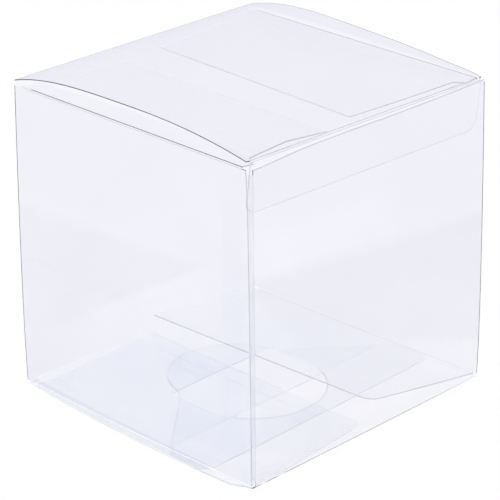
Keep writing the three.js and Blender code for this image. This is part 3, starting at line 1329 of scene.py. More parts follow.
@dataclass
class Walls:
    """The four walls, the glue tab and the seam.

    Attributes:
        front_top: Places along X and heights of the front wall's raw and not quite straight top edge.
        back_top: Height where the back wall's flat part ends.
        raw_edge: Places of the left wall's raw edge along Y, with their heights.
        tab_start: Place of the glue tab's outer face, along X.
        tab_bend: Outer radius of its crease, which is softer than the others.
        tab_width: Width of the glue tab.
        tab_low: Height of its lower end at the crease.
        tab_high: Height of its upper end at the crease.
        tab_taper: How much shorter each end is at the free edge.
        glue_ends: Heights of the glue strip's two ends.
        glue_sides: How far its two sides lie from the box's middle, along Y.
        glue_wander: How unevenly they run.
        glue_gap: How far its outer face lies out from the glue tab's.
        glue_depth: Its thickness.
        swell: How far the middle of a wall stands out.
        swell_height: Height of that place.
    """

    SPACING = 4.0
    GLUE_SEED = 11
    GLUE_ROWS = 40

    front_top: tuple[Point, ...] = (
        (49.5, 102.35),
        (38.0, 102.15),
        (26.0, 102.05),
        (10.0, 102.1),
        (-8.0, 102.35),
        (-22.0, 102.45),
        (-31.0, 102.3),
        (-38.0, 101.9),
        (-44.0, 101.6),
        (-48.48, 101.5),
    )
    back_top: float = 102.97
    raw_edge: tuple[Point, ...] = (
        (-49.75, 12.0),
        (-49.4, 59.0),
        (-49.1, 87.0),
        (-48.9, 95.0),
        (-48.5, 101.0),
    )
    tab_start: float = -49.55
    tab_bend: float = 1.05
    tab_width: float = 14.0
    tab_low: float = 4.3
    tab_high: float = 100.2
    tab_taper: float = 3.75
    glue_ends: Point = (14.2, 90.3)
    glue_sides: Point = (46.2, 38.6)
    glue_wander: float = 0.25
    glue_gap: float = 0.13
    glue_depth: float = 0.11
    swell: float = 0.22
    swell_height: float = 52.0

    def _bulge(self, u: np.ndarray, v: np.ndarray) -> np.ndarray:
        """Finds how far a wall stands out, which is nothing along its creases.

        Args:
            u: Places along the wall.
            v: Their heights.

        Returns:
            How far it stands out there.
        """
        wide = np.clip(1.0 - (u / HALF) ** 2, 0.0, 1.0)
        tall = np.clip(1.0 - ((v - self.swell_height) / HALF) ** 2, 0.0, 1.0)
        return self.swell * wide * tall

    def _wall(self, ahead: Point) -> Surface:
        """Finds a wall's outer face.

        Args:
            ahead: The direction that its outline runs in, seen from above.

        Returns:
            The face as a surface.
        """
        cos, sin = ahead

        def face(u: np.ndarray, v: np.ndarray) -> np.ndarray:
            """Returns the wall's outer face."""
            out = HALF + self._bulge(u, v)
            return np.stack([cos * u + sin * out, sin * u - cos * out, v], 1)

        return face

    def _on_left(self, x: float) -> Surface:
        """Returns a flat face beside the left wall, at a place along X."""
        return lambda u, v: np.stack([np.full_like(u, x), -u, v], 1)

    def panels(self) -> list[Panel]:
        """Cuts the walls and the glue tab.

        Returns:
            The panels.
        """
        end = HALF - BEND - SEAM
        side_low, side_high = SIDE_FOOT + BEND + SEAM, SIDE_TOP - TOP_BEND - SEAM
        end_low = END_FOOT + BEND + SEAM
        front_left = self.tab_start + self.tab_bend + SEAM
        front_border = [(front_left, end_low), (end, end_low)]
        front_border += [(min(max(u, front_left), end), v) for u, v in self.front_top]
        cut_from = self.front_top[-1][1] - 0.3
        front = Outline(front_border, rim=lambda u, v: Rim.CUT if v > cut_from else Rim.JOINED)
        right = Outline.joined([(-end, side_low), (end, side_low), (end, side_high), (-end, side_high)])
        top = self.back_top
        back = Outline.joined([(-end, end_low), (end, end_low), (end, top), (-end, top)])
        raw = [(-y, z) for y, z in self.raw_edge]
        raw[-1] = (raw[-1][0], side_high)

        def left_rim(u: float, v: float) -> Rim:
            """Picks the finish of the foot, of the raw edge by the glue tab, or of the creases.

            Args:
                u: The place along the wall.
                v: Its height.

            Returns:
                The finish there.
            """
            if v < side_low + 2 * ON_LINE:
                return Rim.LIGHT_CUT
            return Rim.CUT if u > raw[-1][0] - 0.5 else Rim.JOINED

        left_border = [(-end, side_low), (raw[0][0], side_low), *raw, (-end, side_high)]
        left = Outline(left_border, rim=left_rim, burr=0.1)
        tab_crease = HALF - self.tab_bend - SEAM
        tab_free = end - self.tab_width
        tab = Outline.joined(
            [
                (tab_crease, self.tab_low),
                (tab_crease, self.tab_high),
                (tab_free, self.tab_high - self.tab_taper),
                (tab_free, self.tab_low + self.tab_taper),
            ]
        )
        return [
            Panel(node + "_sheet", node, Body.WALLS, outline, face, -SHEET, film, self.SPACING)
            for node, outline, face, film in (
                ("front_wall", front, self._wall((1, 0)), Film.WALL),
                ("right_wall", right, self._wall((0, 1)), Film.FAR_WALL),
                ("back_wall", back, self._wall((-1, 0)), Film.FAR_WALL),
                ("left_wall", left, self._wall((0, -1)), Film.WALL),
                ("glue_tab", tab, self._on_left(self.tab_start), Film.GLUED),
            )
        ]

    def seam(self) -> Panel:
        """Lays the strip of dried glue between the glue tab and the left wall.

        Returns:
            The strip, as a panel.
        """
        draw = np.random.default_rng(self.GLUE_SEED)
        rows = np.linspace(*self.glue_ends, self.GLUE_ROWS)
        near, far = (
            [(side + float(draw.normal(0.0, self.glue_wander)), float(v)) for v in rows]
            for side in self.glue_sides
        )
        outline = Outline(near + far[::-1], rim=lambda u, v: Rim.GLUE, burr=0.0)
        face = self._on_left(self.tab_start - self.glue_gap)
        return Panel(
            "seam_glue_strip",
            "seam_adhesive",
            Body.WALLS,
            outline,
            face,
            -self.glue_depth,
            Film.GLUE,
            spacing=2.0,
            slot=Slot.ADHESIVE,
        )

    def creases(self) -> list[Crease]:
        """Folds the creases that the walls hold on their own.

        Returns:
            The creases.
        """
        low, high = SIDE_FOOT + BEND, SIDE_TOP - TOP_BEND
        tall, middle, corner = high - low, (high + low) / 2, HALF - BEND
        tab = (self.tab_high + self.tab_low) / 2
        soft, dark = Film.SOFT_STRIP, Film.DARK_STRIP
        tab_place = (self.tab_start + self.tab_bend, -HALF + self.tab_bend, tab)
        tab_tall = self.tab_high - self.tab_low
        walls, up = (Body.WALLS,), (0, 0, 1)
        return [
            Crease(name + "_crease", walls, centre, start, up, 90, length, radius, film=film)
            for name, centre, start, length, radius, film in (
                ("front_right", (corner, -corner, middle), (0, -1, 0), tall, BEND, Film.STRIP),
                ("back_right", (corner, corner, middle), (1, 0, 0), tall, BEND, soft),
                ("back_left", (-corner, corner, middle), (0, 1, 0), tall, BEND, Film.STRIP),
                ("glue_tab", tab_place, (-1, 0, 0), tab_tall, self.tab_bend, dark),
            )
        ]


class LidTree(SheetTree):
    """The tree of the lid: a rectangle of sheet that bows up between its two creases.

    The bow is full by the back crease and falls away to the front, and the far front quarter dips.
    """

    NAME = "bowed_lid"
    MEASURES = (
        "Width",
        "Back Y",
        "Front Y",
        "Crease Height",
        "Front Rise",
        "Bow",
        "Back Fullness",
        "Front Fullness",
        "Dip",
        "Thickness",
    )
    COUNTS = ("Rows",)
    MATERIALS = ("Face Finish", "Rim Finish", "Crease Finish")
    DIP_START = (0.1, 0.74)  # shares of the way to the front where the dip starts and is full
    DIP_END = (0.82, 1.0)  # where it begins to ease and is eased most
    DIP_EASED = 0.4  # how much of it is gone there
    END_REACH = 2e-4  # how near to the lid's ends a face of its rim counts as joined to a crease

    def _height(self, share: object, across: object) -> bpy.types.NodeSocket:
        """Returns the height of the lid's upper face.

        Args:
            share: The socket for the share of the way from the back crease to the front one.
            across: The socket for the share of the way from the left side to the right one.

        Returns:
            The height's socket.
        """
        tree, given = self.tree, self.given
        side = tree.maths("SUBTRACT", 1.0, tree.maths("MULTIPLY", share, 2.0))
        behind = tree.maths("GREATER_THAN", side, 0.0)
        power = tree.maths(
            "ADD",
            tree.maths("MULTIPLY", behind, given["Back Fullness"]),
            tree.maths("MULTIPLY", tree.maths("SUBTRACT", 1.0, behind), given["Front Fullness"]),
        )
        fall = tree.maths("POWER", tree.maths("ABSOLUTE", side), power)
        bow = tree.maths("MULTIPLY", tree.maths("SUBTRACT", 1.0, fall), given["Bow"])
        rise = tree.maths("MULTIPLY", share, given["Front Rise"])
        sunk = tree.maths("MULTIPLY", tree.step(share, *self.DIP_START), given["Dip"])
        gone = tree.maths("MULTIPLY", tree.step(share, *self.DIP_END), self.DIP_EASED)
        eased = tree.maths("SUBTRACT", 1.0, gone)
        dip = tree.maths("MULTIPLY", tree.maths("MULTIPLY", sunk, eased), across)
        high = tree.maths("ADD", tree.maths("ADD", given["Crease Height"], rise), bow)
        return tree.maths("SUBTRACT", high, dip)

    def _ends(self) -> bpy.types.NodeSocket:
        """Selects what lies at the lid's two creases.

        Returns:
            The selection's socket.
        """
        tree = self.tree
        _, along, _ = tree.split(tree.node("GeometryNodeInputPosition").outputs[0])
        ends = (self.given["Back Y"], self.given["Front Y"])
        behind, before = (tree.maths("COMPARE", along, end, self.END_REACH) for end in ends)
        return tree.maths("MAXIMUM", behind, before)

    def _build(self) -> bpy.types.NodeSocket:
        """Adds and joins the tree's nodes.

        Returns:
            The socket of the finished mesh.
        """
        tree, given = self.tree, self.given
        plan, x, y = self._square("Rows", "Rows")
        across = tree.maths("ADD", x, 0.5)
        share = tree.maths("SUBTRACT", 0.5, y)
        run = tree.maths("SUBTRACT", given["Front Y"], given["Back Y"])
        bent = self._moved(
            plan,
            tree.maths("MULTIPLY", x, given["Width"]),
            tree.maths("ADD", given["Back Y"], tree.maths("MULTIPLY", share, run)),
            self._height(share, across),
        )
        closed, rim = self._thickened(bent)
        edged = self._dressed(self._dressed(closed, "Face Finish"), "Rim Finish", rim)
        return self._dressed(edged, "Crease Finish", tree.maths("MULTIPLY", self._ends(), rim))


@dataclass
class Lid:
    """The lid, its crease on the back wall, and the tuck flap.

    Attributes:
        width: Width of the lid.
        back_slope: Slope of the lid by its crease, in degrees.
        front_slope: Slope by the tuck crease, in degrees.
        crease_height: Height of the upper face where the bend by the back wall ends.
        rise: How much higher the near end of the tuck crease is.
        bow: How far the lid bows up.
        back_fullness: Power of the bow's back half.
        front_fullness: Power of its front half.
        dip: How far the far front quarter dips under that.
        front_drop: How much lower the far end of the tuck crease is than the near end.
        tuck_y: Place of the tuck crease's outer face.
        tuck_depth: Length of the tuck flap.
        tuck_reach: Half its width.
        tuck_corner: Radius of its corners.
        lean: How far the tuck flap leans in, in degrees.
        curl: How much further in its free edge curls.
        rows: How many points the lid's mesh has along each side.
    """

    width: float = 99.4
    back_slope: float = 17.0
    front_slope: float = 8.0
    crease_height: float = 103.4
    rise: float = 0.7
    bow: float = 4.4
    back_fullness: float = 3.4
    front_fullness: float = 2.3
    dip: float = 2.15
    front_drop: float = 1.29
    tuck_y: float = -49.2
    tuck_depth: float = 16.4
    tuck_reach: float = 48.75
    tuck_corner: float = 4.0
    lean: float = 5.5
    curl: float = 0.5
    rows: int = 57

    def crease(self, back_top: float) -> Crease:
        """Folds the crease between the back wall and the lid.

        Args:
            back_top: Height where the back wall's flat part ends.

        Returns:
            The crease.
        """
        bodies = (Body.WALLS, Body.LID)
        centre = (0.0, HALF - BEND, back_top)
        bend = 90 - self.back_slope
        return Crease("lid_crease_strip", bodies, centre, (0, 1, 0), (1, 0, 0), bend, self.width)

    def _tuck_centre(self) -> Place:
        """Returns the middle of the line that the tuck crease bends round."""
        top = self.crease_height + self.rise - self.front_drop / 2
        return (0.0, self.tuck_y + TOP_BEND, top - TOP_BEND)

    def tuck_crease(self) -> Crease:
        """Folds the crease between the lid and the tuck flap.

        Returns:
            The crease.
        """
        slope = math.radians(self.front_slope)
        return Crease(
            "tuck_crease_strip",
            (Body.LID, Body.TUCK),
            self._tuck_centre(),
            start=(0.0, -math.sin(slope), math.cos(slope)),
            axis=(1, 0, 0),
            bend=90 - self.front_slope + self.lean,
            length=2 * self.tuck_reach,
            radius=TOP_BEND,
            lean=-self.front_drop / self.width,
            film=Film.DARK_STRIP,
        )

    def build(self, tree: LidTree, finishes: Finishes) -> bpy.types.Object:
        """Builds the lid panel.

        Args:
            tree: The Geometry Nodes tree of the lid.
            finishes: The finishes of the box.

        Returns:
            The finished piece.
        """
        name = "lid_sheet"
        slope = math.radians(self.back_slope)
        back_y = HALF - BEND + BEND * math.sin(slope) - SEAM
        front_y = self.tuck_y + TOP_BEND + SEAM
        mesh = tree.mesh(
            name,
            {
                "Width": self.width * MM,
                "Back Y": back_y * MM,
                "Front Y": front_y * MM,
                "Crease Height": self.crease_height * MM,
                "Front Rise": self.rise * MM,
                "Bow": self.bow * MM,
                "Back Fullness": self.back_fullness,
                "Front Fullness": self.front_fullness,
                "Dip": self.dip * MM,
                "Thickness": SHEET * MM,
                "Rows": self.rows,
                "Face Finish": finishes.of(Film.LID),
                "Rim Finish": finishes.of(Rim.DARK_CUT),
                "Crease Finish": finishes.of(Rim.JOINED),
            },
        )
        SETTLING.settle(mesh)
        made = link(bpy.data.objects.new(name, smoothed(mesh)))
        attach(made, Body.LID.value)
        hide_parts("lid_panel")
        LOG.info("%s: %d faces", name, len(mesh.polygons))
        return made

    def tuck(self) -> Panel:
        """Cuts the tuck flap.

        Returns:
            The panel.
        """
        reach, corner = self.tuck_reach, self.tuck_corner
        low = -self.tuck_depth
        inner = reach - corner
        border = [(-reach, -SEAM)]
        border += arc((-inner, low + corner), corner, 180, 270)
        border += arc((inner, low + corner), corner, 270, 360)
        border += [(reach, -SEAM)]
        outline = Outline(border, rim=lambda u, v: Rim.JOINED if v > -SEAM * 2 else Rim.PALE_CUT)
        lean = math.radians(self.lean)
        _, y, z = self._tuck_centre()

        def face(u: np.ndarray, v: np.ndarray) -> np.ndarray:
            """Hangs the flap's outer face from the end of its crease.

            Args:
                u: Places along X.
                v: How far down they are, under 0.

            Returns:
                The places in space.
            """
            curl = self.curl * np.clip(-v / self.tuck_depth, 0.0, 1.0) ** 2
            top_y = y - TOP_BEND * math.cos(lean)
            top_z = z - TOP_BEND * math.sin(lean) - self.front_drop / self.width * u
            return np.stack([u, top_y - v * math.sin(lean) + curl, top_z + v * math.cos(lean)], 1)

        return Panel("tuck_flap_sheet", "tuck_flap", Body.TUCK, outline, face, -SHEET, Film.FLAP, 2.5)


@dataclass
class DustFlap:
    """A dust flap under the lid.

    Attributes:
        side: The side that it is on.
        node: The node that it stands for.
        body: The body that it moves with.
        hang_back: How far its free edge hangs down at the back.
        hang_front: How far it does at the front.
        bend: The angle of its crease, in degrees.
        free: The finish of its free edge.
        level: Where the front edge stops slanting, from the crease.
        belly: How far the flap bulges up between its crease and its free edge.
        split: Half the open strip between the two flaps.
        back_gap: Its back edge in front of the outside of the back wall.
        shoulder_y: Place of its shoulder by the front wall.
        shoulder: Length of the shoulder.
        notch: Step from the shoulder to the tapered edge.
        taper: Angle of that edge, in degrees.
        rounding: Radius of the shoulder's corner.
        round_from: How far before the shoulder's end that corner starts.
    """

    side: Side
    node: str
    body: Body
    hang_back: float
    hang_front: float
    bend: float
    free: Rim = Rim.PALE_CUT
    level: float = math.inf
    belly: float = 0.6
    split: float = 6.8
    back_gap: float = 3.0
    shoulder_y: float = -46.7
    shoulder: float = 4.5
    notch: float = 3.7
    taper: float = 13.0
    rounding: float = 0.8
    round_from: float = 0.6

    def panel(self) -> Panel:
        """Cuts the flap.

        Returns:
            The panel.
        """
        crease = HALF - TOP_BEND - SEAM
        reach = crease - self.split
        back = HALF - self.back_gap
        low = self.shoulder_y + self.notch
        start = self.shoulder + self.notch / 2
        level = min(self.level, reach)
        tip = low + (level - start) * math.tan(math.radians(self.taper))
        turn = self.shoulder - self.round_from
        border = [
            (0.0, self.shoulder_y),
            (turn, self.shoulder_y),
            *arc((turn, self.shoulder_y + self.rounding), self.rounding, -70, -30, 3),
            (start, low),
            (level - 0.01, tip),  # never on the next corner
            (reach, tip),
            (reach, back),
            (0.0, back),
        ]

        def rim(u: float, v: float) -> Rim:
            """Picks the finish of the crease, or of the free, back or front edge.

            Args:
                u: How far the place is from the crease.
                v: Its place along Y.

            Returns:
                The finish there.
            """
            if u < ON_LINE:
                return Rim.JOINED
            if u > reach - ON_LINE:
                return self.free
            return Rim.LIGHT_CUT if v > back - ON_LINE else Rim.CUT

        outline = Outline(border, rim=rim)
        sign = self.side.value

        def face(u: np.ndarray, v: np.ndarray) -> np.ndarray:
            """Bends the flap's upper face.

            Args:
                u: How far places are from the crease.
                v: Their places along Y.

            Returns:
                The places in space.
            """
            out = u / reach
            hang = mix(self.hang_front, self.hang_back, (v - tip) / (back - tip))
            slope = math.tan(math.radians(self.bend - 90.0))
            line = slope * u * (1.0 - out) + hang * out - self.belly * 4.0 * out * (1.0 - out)
            return np.stack([sign * (crease - u), v, SIDE_TOP - line], 1)

        grow = SHEET if sign > 0 else -SHEET
        film = Film.FLAP if sign > 0 else Film.CURLED_FLAP
        return Panel(self.node + "_sheet", self.node, self.body, outline, face, grow, film)

    def crease(self) -> Crease:
        """Folds the crease between the side wall and the flap.

        Returns:
            The crease.
        """
        sign = self.side.value
        back = HALF - self.back_gap
        middle = (back + self.shoulder_y) / 2
        return Crease(
            self.node + "_crease",
            (Body.WALLS, self.body),
            (sign * (HALF - TOP_BEND), middle, SIDE_TOP - TOP_BEND),
            start=(sign, 0, 0),
            axis=(0, -sign, 0),
            bend=self.bend,
            length=back - self.shoulder_y,
            radius=TOP_BEND,
            film=Film.DARK_STRIP if sign < 0 else Film.SOFT_STRIP,
        )


@dataclass
class SideFlap:
    """A side flap of the base.

    Attributes:
        side: The side that it is on.
        node: The node that it stands for.
        body: The body that it moves with.
        lift_front: Angle that it stands up at, by its front end, in degrees.
        lift_back: Angle by its back end.
        length_front: Its length from its crease strip, by the front end.
        length_back: Its length by the back end.
        curl: How far its free edge curls up over that angle.
        sag: How far it sags beside its crease.
        sag_place: How far from its crease it sags most.
        front: Place of its front edge at the crease.
        back: Place of its back edge there.
        tip_front: Place of its front edge at the free edge.
        tip_back: Place of its back edge there.
        corner: Radius of its front corner.
        film: Its finish.
        edge: Gives the finish of its free edge at a place along Y.
    """

    side: Side
    node: str
    body: Body
    lift_front: float
    lift_back: float
    length_front: float
    length_back: float
    curl: float
    sag: float = 0.0
    sag_place: float = 9.0
    front: float = -49.2
    back: float = 46.5
    tip_front: float = -47.5
    tip_back: float = 45.7
    corner: float = 4.0
    film: Film = Film.BASE
    edge: Callable[[float], Rim] = lambda v: Rim.CUT

    def panel(self) -> Panel:
        """Cuts the flap.

        Returns:
            The panel.
        """
        crease = HALF - BEND - SEAM
        near, corner = self.length_front, self.corner
        border = [(0.0, self.front)]
        border += arc((near - corner, self.tip_front + corner), corner, -88, 0)
        border += [(self.length_back, self.tip_back), (0.0, self.back)]
        edge = self.edge

        def rim(u: float, v: float) -> Rim:
            """Picks the finish of the crease, of the back edge, or of the rest of the cut.

            Args:
                u: How far the place is from the crease.
                v: Its place along Y.

            Returns:
                The finish there.
            """
            if u < ON_LINE:
                return Rim.JOINED if self.side is Side.RIGHT else Rim.LIGHT_CUT
            return Rim.LIGHT_CUT if v > self.tip_back - 4 * ON_LINE else edge(v)

        outline = Outline(border, rim=rim)
        sign = self.side.value

        def face(u: np.ndarray, v: np.ndarray) -> np.ndarray:
            """Bends the flap's underside.

            Args:
                u: How far places are from the crease.
                v: Their places along Y.

            Returns:
                The places in space.
            """
            share = (v - self.front) / (self.back - self.front)
            lift = np.radians(mix(self.lift_front, self.lift_back, share))
            near_crease = np.clip(u / self.sag_place, 0.0, 1.0)
            beyond = np.exp(1.0 - np.maximum(u, self.sag_place) / self.sag_place)
            high = SIDE_FOOT + u * np.sin(lift) + self.curl * (u / near) ** 2
            high -= self.sag * near_crease * beyond
            return np.stack([sign * (crease - u * np.cos(lift)), v, high], 1)

        grow = -SHEET if sign > 0 else SHEET
        return Panel(self.node + "_sheet", self.node, self.body, outline, face, grow, self.film)

    def crease(self) -> Crease:
        """Folds the crease between the side wall and the flap.

        Returns:
            The crease.
        """
        sign = self.side.value
        lift = (self.lift_front + self.lift_back) / 2
        return Crease(
            self.node + "_crease",
            (Body.WALLS, self.body),
            (sign * (HALF - BEND), (self.back + self.front) / 2, SIDE_FOOT + BEND),
            start=(sign, 0, 0),
            axis=(0, sign, 0),
            bend=90 + lift,
            length=self.back - self.front,
            film=Film.FAINT_STRIP if sign < 0 else Film.SOFT_STRIP,
        )


# The free edge's painted shade is darkest over the window and paler to each side.
LEFT_EDGE = (  # finishes of the left side flap's free edge, behind these places along Y
    (12.5, Rim.PALE_CUT),
    (-4.0, Rim.CUT),
    (-12.5, Rim.PALE_CUT),
    (-math.inf, Rim.FAINT_CUT),
)


def left_side_edge(v: float) -> Rim:
    """Returns the finish of the left side flap's free edge, whose painted shade is darkest over the
    window.
    """
    return next(finish for start, finish in LEFT_EDGE if v > start)


@dataclass
class LockingBase:
    """The main flap, the locking flap and its tongue, which hold the base shut.

    Attributes:
        reach: Half the width of the flaps.
        free_y: Place of the main flap's free edge.
        corner: Radius of its free corners.
        window: Half the width of the half-moon window.
        window_x: Place of its middle along X.
        web: Strip between the window and the free edge.
        hook_y: Place of the window's straight edge.
        shoulder_y: Place where the locking flap begins to narrow.
        score_y: Place of the score line where the tongue bends.
        score: Half its width.
        tongue: Radius of the tongue's round end.
        tongue_x: Place of its centre along X.
        tongue_y: Place of its centre along Y.
        neck: How far outside the round end the slanting edges point to.
        barb: How far outside it the tongue is widest, and how far behind its centre.
        climb: Places where the tongue starts to climb through the window and is through.
        low_left: Height of the main flap's underside on the left, where it sags most.
        low_right: Its height on the right.
        layer: Height of the locking flap under the main flap, and of the tongue over it.
        fall: How far from its crease the locking flap has come down to its level.
        seen_score: Places along X between which the score line shows.
        seen_hook: Place along X up to which the window's straight edge shows.
        seen_tongue: Place along X up to which the locking flap's and the tongue's edges show.
    """

    LOWEST = 0.01  # the underside of no flap lies lower
    SCORE_DEPTH = 0.02
    SCORE_SHORT = 0.4  # how far inside the slanting edges the score line ends

    reach: float = 49.6
    free_y: float = -30.5
    corner: float = 4.5
    window: float = 21.5
    window_x: float = -0.6
    web: float = 5.6
    hook_y: float = 12.5
    shoulder_y: float = -15.6
    score_y: float = -12.1
    score: float = 0.15
    tongue: float = 20.6
    tongue_x: float = 0.2
    tongue_y: float = 8.6
    neck: float = 2.6
    barb: Point = (1.5, 0.8)
    climb: Point = (7.9, 12.4)
    low_left: float = 0.04
    low_right: float = 2.1
    layer: float = 0.35
    fall: float = 9.5
    seen_score: Point = (-4.0, 16.0)
    seen_hook: float = 14.0
    seen_tongue: float = 3.0

    def _main(self, u: np.ndarray, v: np.ndarray) -> np.ndarray:
        """Finds the main flap's underside.

        Args:
            u: Places along X.
            v: Places along Y.

        Returns:
            The heights there.
        """
        back = HALF - BEND
        share = np.clip((back - v) / (back - self.free_y), 0.0, 1.15)
        low = mix(self.low_left, self.low_right, (u + HALF) / (2 * HALF))
        fall = 1.0 - np.clip(1.0 - share, 0.0, 1.0) ** 2.8
        return END_FOOT - (END_FOOT - low) * fall

    def _locking(self, u: np.ndarray, v: np.ndarray) -> np.ndarray:
        """Finds the locking flap's underside, with the tongue's climb.

        Args:
            u: Places along X.
            v: Places along Y.

        Returns:
            The heights there.
        """
        level = self._main(u, np.maximum(v, self.free_y)) - self.layer
        out = (v - (BEND - HALF)) / self.fall
        down = (ease(out) + np.clip(out, 0.0, 1.0)) / 2
        start, end = self.climb
        climb = ease((v - start) / (end - start)) * 2 * self.layer
        return END_FOOT - (END_FOOT - np.maximum(level, self.LOWEST)) * down + climb

    def _plan(self, height: Callable[[np.ndarray, np.ndarray], np.ndarray]) -> Surface:
        """Returns a surface that lies over its own plan at a given height."""
        return lambda u, v: np.stack([u, v, height(u, v)], 1)

    def _at_score(self, gap: float, side: Side) -> Point:
        """Finds where the score line meets a slanting edge.

        Args:
            gap: How far behind the line's middle.
            side: The edge's side.

        Returns:
            The place.
        """
        y = self.score_y + gap
        share = (y - self.shoulder_y) / (self.tongue_y - self.shoulder_y)
        start = side.value * self.reach
        neck = self.tongue_x + side.value * (self.tongue + self.neck)
        return (start + (neck - start) * share, y)

    def _score_rim(self, u: float) -> Rim:
        """Returns the finish of the score line, a faint cut edge with painted shade where no side flap
        lies over it and clear elsewhere.
        """
        low, high = self.seen_score
        return Rim.FAINT_CUT if low < u < high else Rim.JOINED

    def _lock_rim(self, u: float, v: float) -> Rim:
        """Picks the finish of the locking flap's cut edge, whose painted shade is paler on the right.

        Args:
            u: The place along X.
            v: The place along Y.

        Returns:
            The finish there.
        """
        if v < 1.0 - self.reach:
            return Rim.JOINED
        return Rim.PALE_CUT if u < self.seen_tongue else Rim.LIGHT_CUT

    def panels(self) -> list[Panel]:
        """Cuts the three flaps and the score line.

        Returns:
            The panels.
        """
        back = HALF - BEND - SEAM
        turn, inner = self.free_y + self.corner, self.reach - self.corner
        main_border = [(self.reach, back), (-self.reach, back)]
        main_border += arc((-inner, turn), self.corner, 180, 270)
        main_border += arc((inner, turn), self.corner, 270, 360)
        centre = (self.window_x, self.free_y + self.web + self.window)
        window = [(centre[0] - self.window, self.hook_y), *arc(centre, self.window, 180, 360, 32)]
        window.append((centre[0] + self.window, self.hook_y))

        def main_rim(u: float, v: float) -> Rim:
            """Picks the finish of the main flap's rim, whose painted shade is faintest under the side
            flaps.

            Args:
                u: The place along X.
                v: The place along Y.

            Returns:
                The finish there.
            """
            if v > back - 2 * ON_LINE:
                return Rim.JOINED
            if v < turn + 2 * ON_LINE or abs(u) > self.reach - 2 * ON_LINE:
                return Rim.FAINT_CUT
            if v > self.hook_y - ON_LINE:
                return Rim.FAINT_CUT if u < self.seen_hook else Rim.LIGHT_CUT
            return Rim.CUT if v < self.score_y else Rim.LIGHT_CUT

        main = Outline(main_border, [window], rim=main_rim)

        front = -HALF + BEND + SEAM
        left, right = Side.LEFT, Side.RIGHT

        def flap_rim(u: float, v: float) -> Rim:
            """Returns the finish of the rim of the locking flap and of the tongue."""
            at_score = abs(abs(v - self.score_y) - self.score) < 0.01
            return self._score_rim(u) if at_score else self._lock_rim(u, v)

        locking = Outline(
            [
                (-self.reach, front),
                (self.reach, front),
                (self.reach, self.shoulder_y),
                self._at_score(-self.score, right),
                self._at_score(-self.score, left),
                (-self.reach, self.shoulder_y),
            ],
            rim=flap_rim,
        )
        round_end = arc((self.tongue_x, self.tongue_y), self.tongue, 10, 170, 32)
        wide, behind = self.tongue + self.barb[0], self.tongue_y + self.barb[1]
        tongue = Outline(
            [
                self._at_score(self.score, left),
                self._at_score(self.score, right),
                (self.tongue_x + wide, behind),
                *round_end,
                (self.tongue_x - wide, behind),
            ],
            rim=flap_rim,
        )
        gap = self.score - SEAM
        corners = [(-gap, left), (-gap, right), (gap, right), (gap, left)]
        score = Outline.joined(
            [
                (self._at_score(by, side)[0] - self.SCORE_SHORT * side.value, self.score_y + by)
                for by, side in corners
            ]
        )
        lies, locks = self._plan(self._main), self._plan(self._locking)
        lock, scored = Film.LOCK, SHEET - self.SCORE_DEPTH
        return [
            Panel(name, node, Body.WALLS, outline, face, grow, film, spacing)
            for name, node, outline, face, grow, film, spacing in (
                ("base_main_flap_sheet", "base_main_flap", main, lies, SHEET, Film.MAIN_FLAP, 2.6),
                ("base_locking_flap_sheet", "base_locking_flap", locking, locks, SHEET, lock, 2.6),
                ("base_lock_tongue_sheet", "base_lock_tongue", tongue, locks, SHEET, Film.TONGUE, 2.0),
                ("lock_tongue_score", None, score, locks, scored, lock, 2.6),
            )
        ]

    def creases(self) -> list[Crease]:
        """Folds the creases of the main flap and of the locking flap.

        Returns:
            The creases.
        """
        edge = HALF - BEND
        return [
            Crease(name, (Body.WALLS,), (0, y, END_FOOT + BEND), start, axis, bend, 2 * edge, film=film)
            for name, y, start, axis, bend, film in (
                ("base_main_flap_crease", edge, (0, 1, 0), (-1, 0, 0), 88, Film.SOFT_STRIP),
                ("base_locking_flap_crease", -edge, (0, -1, 0), (1, 0, 0), 81, Film.STRIP),
            )
        ]


# Studio


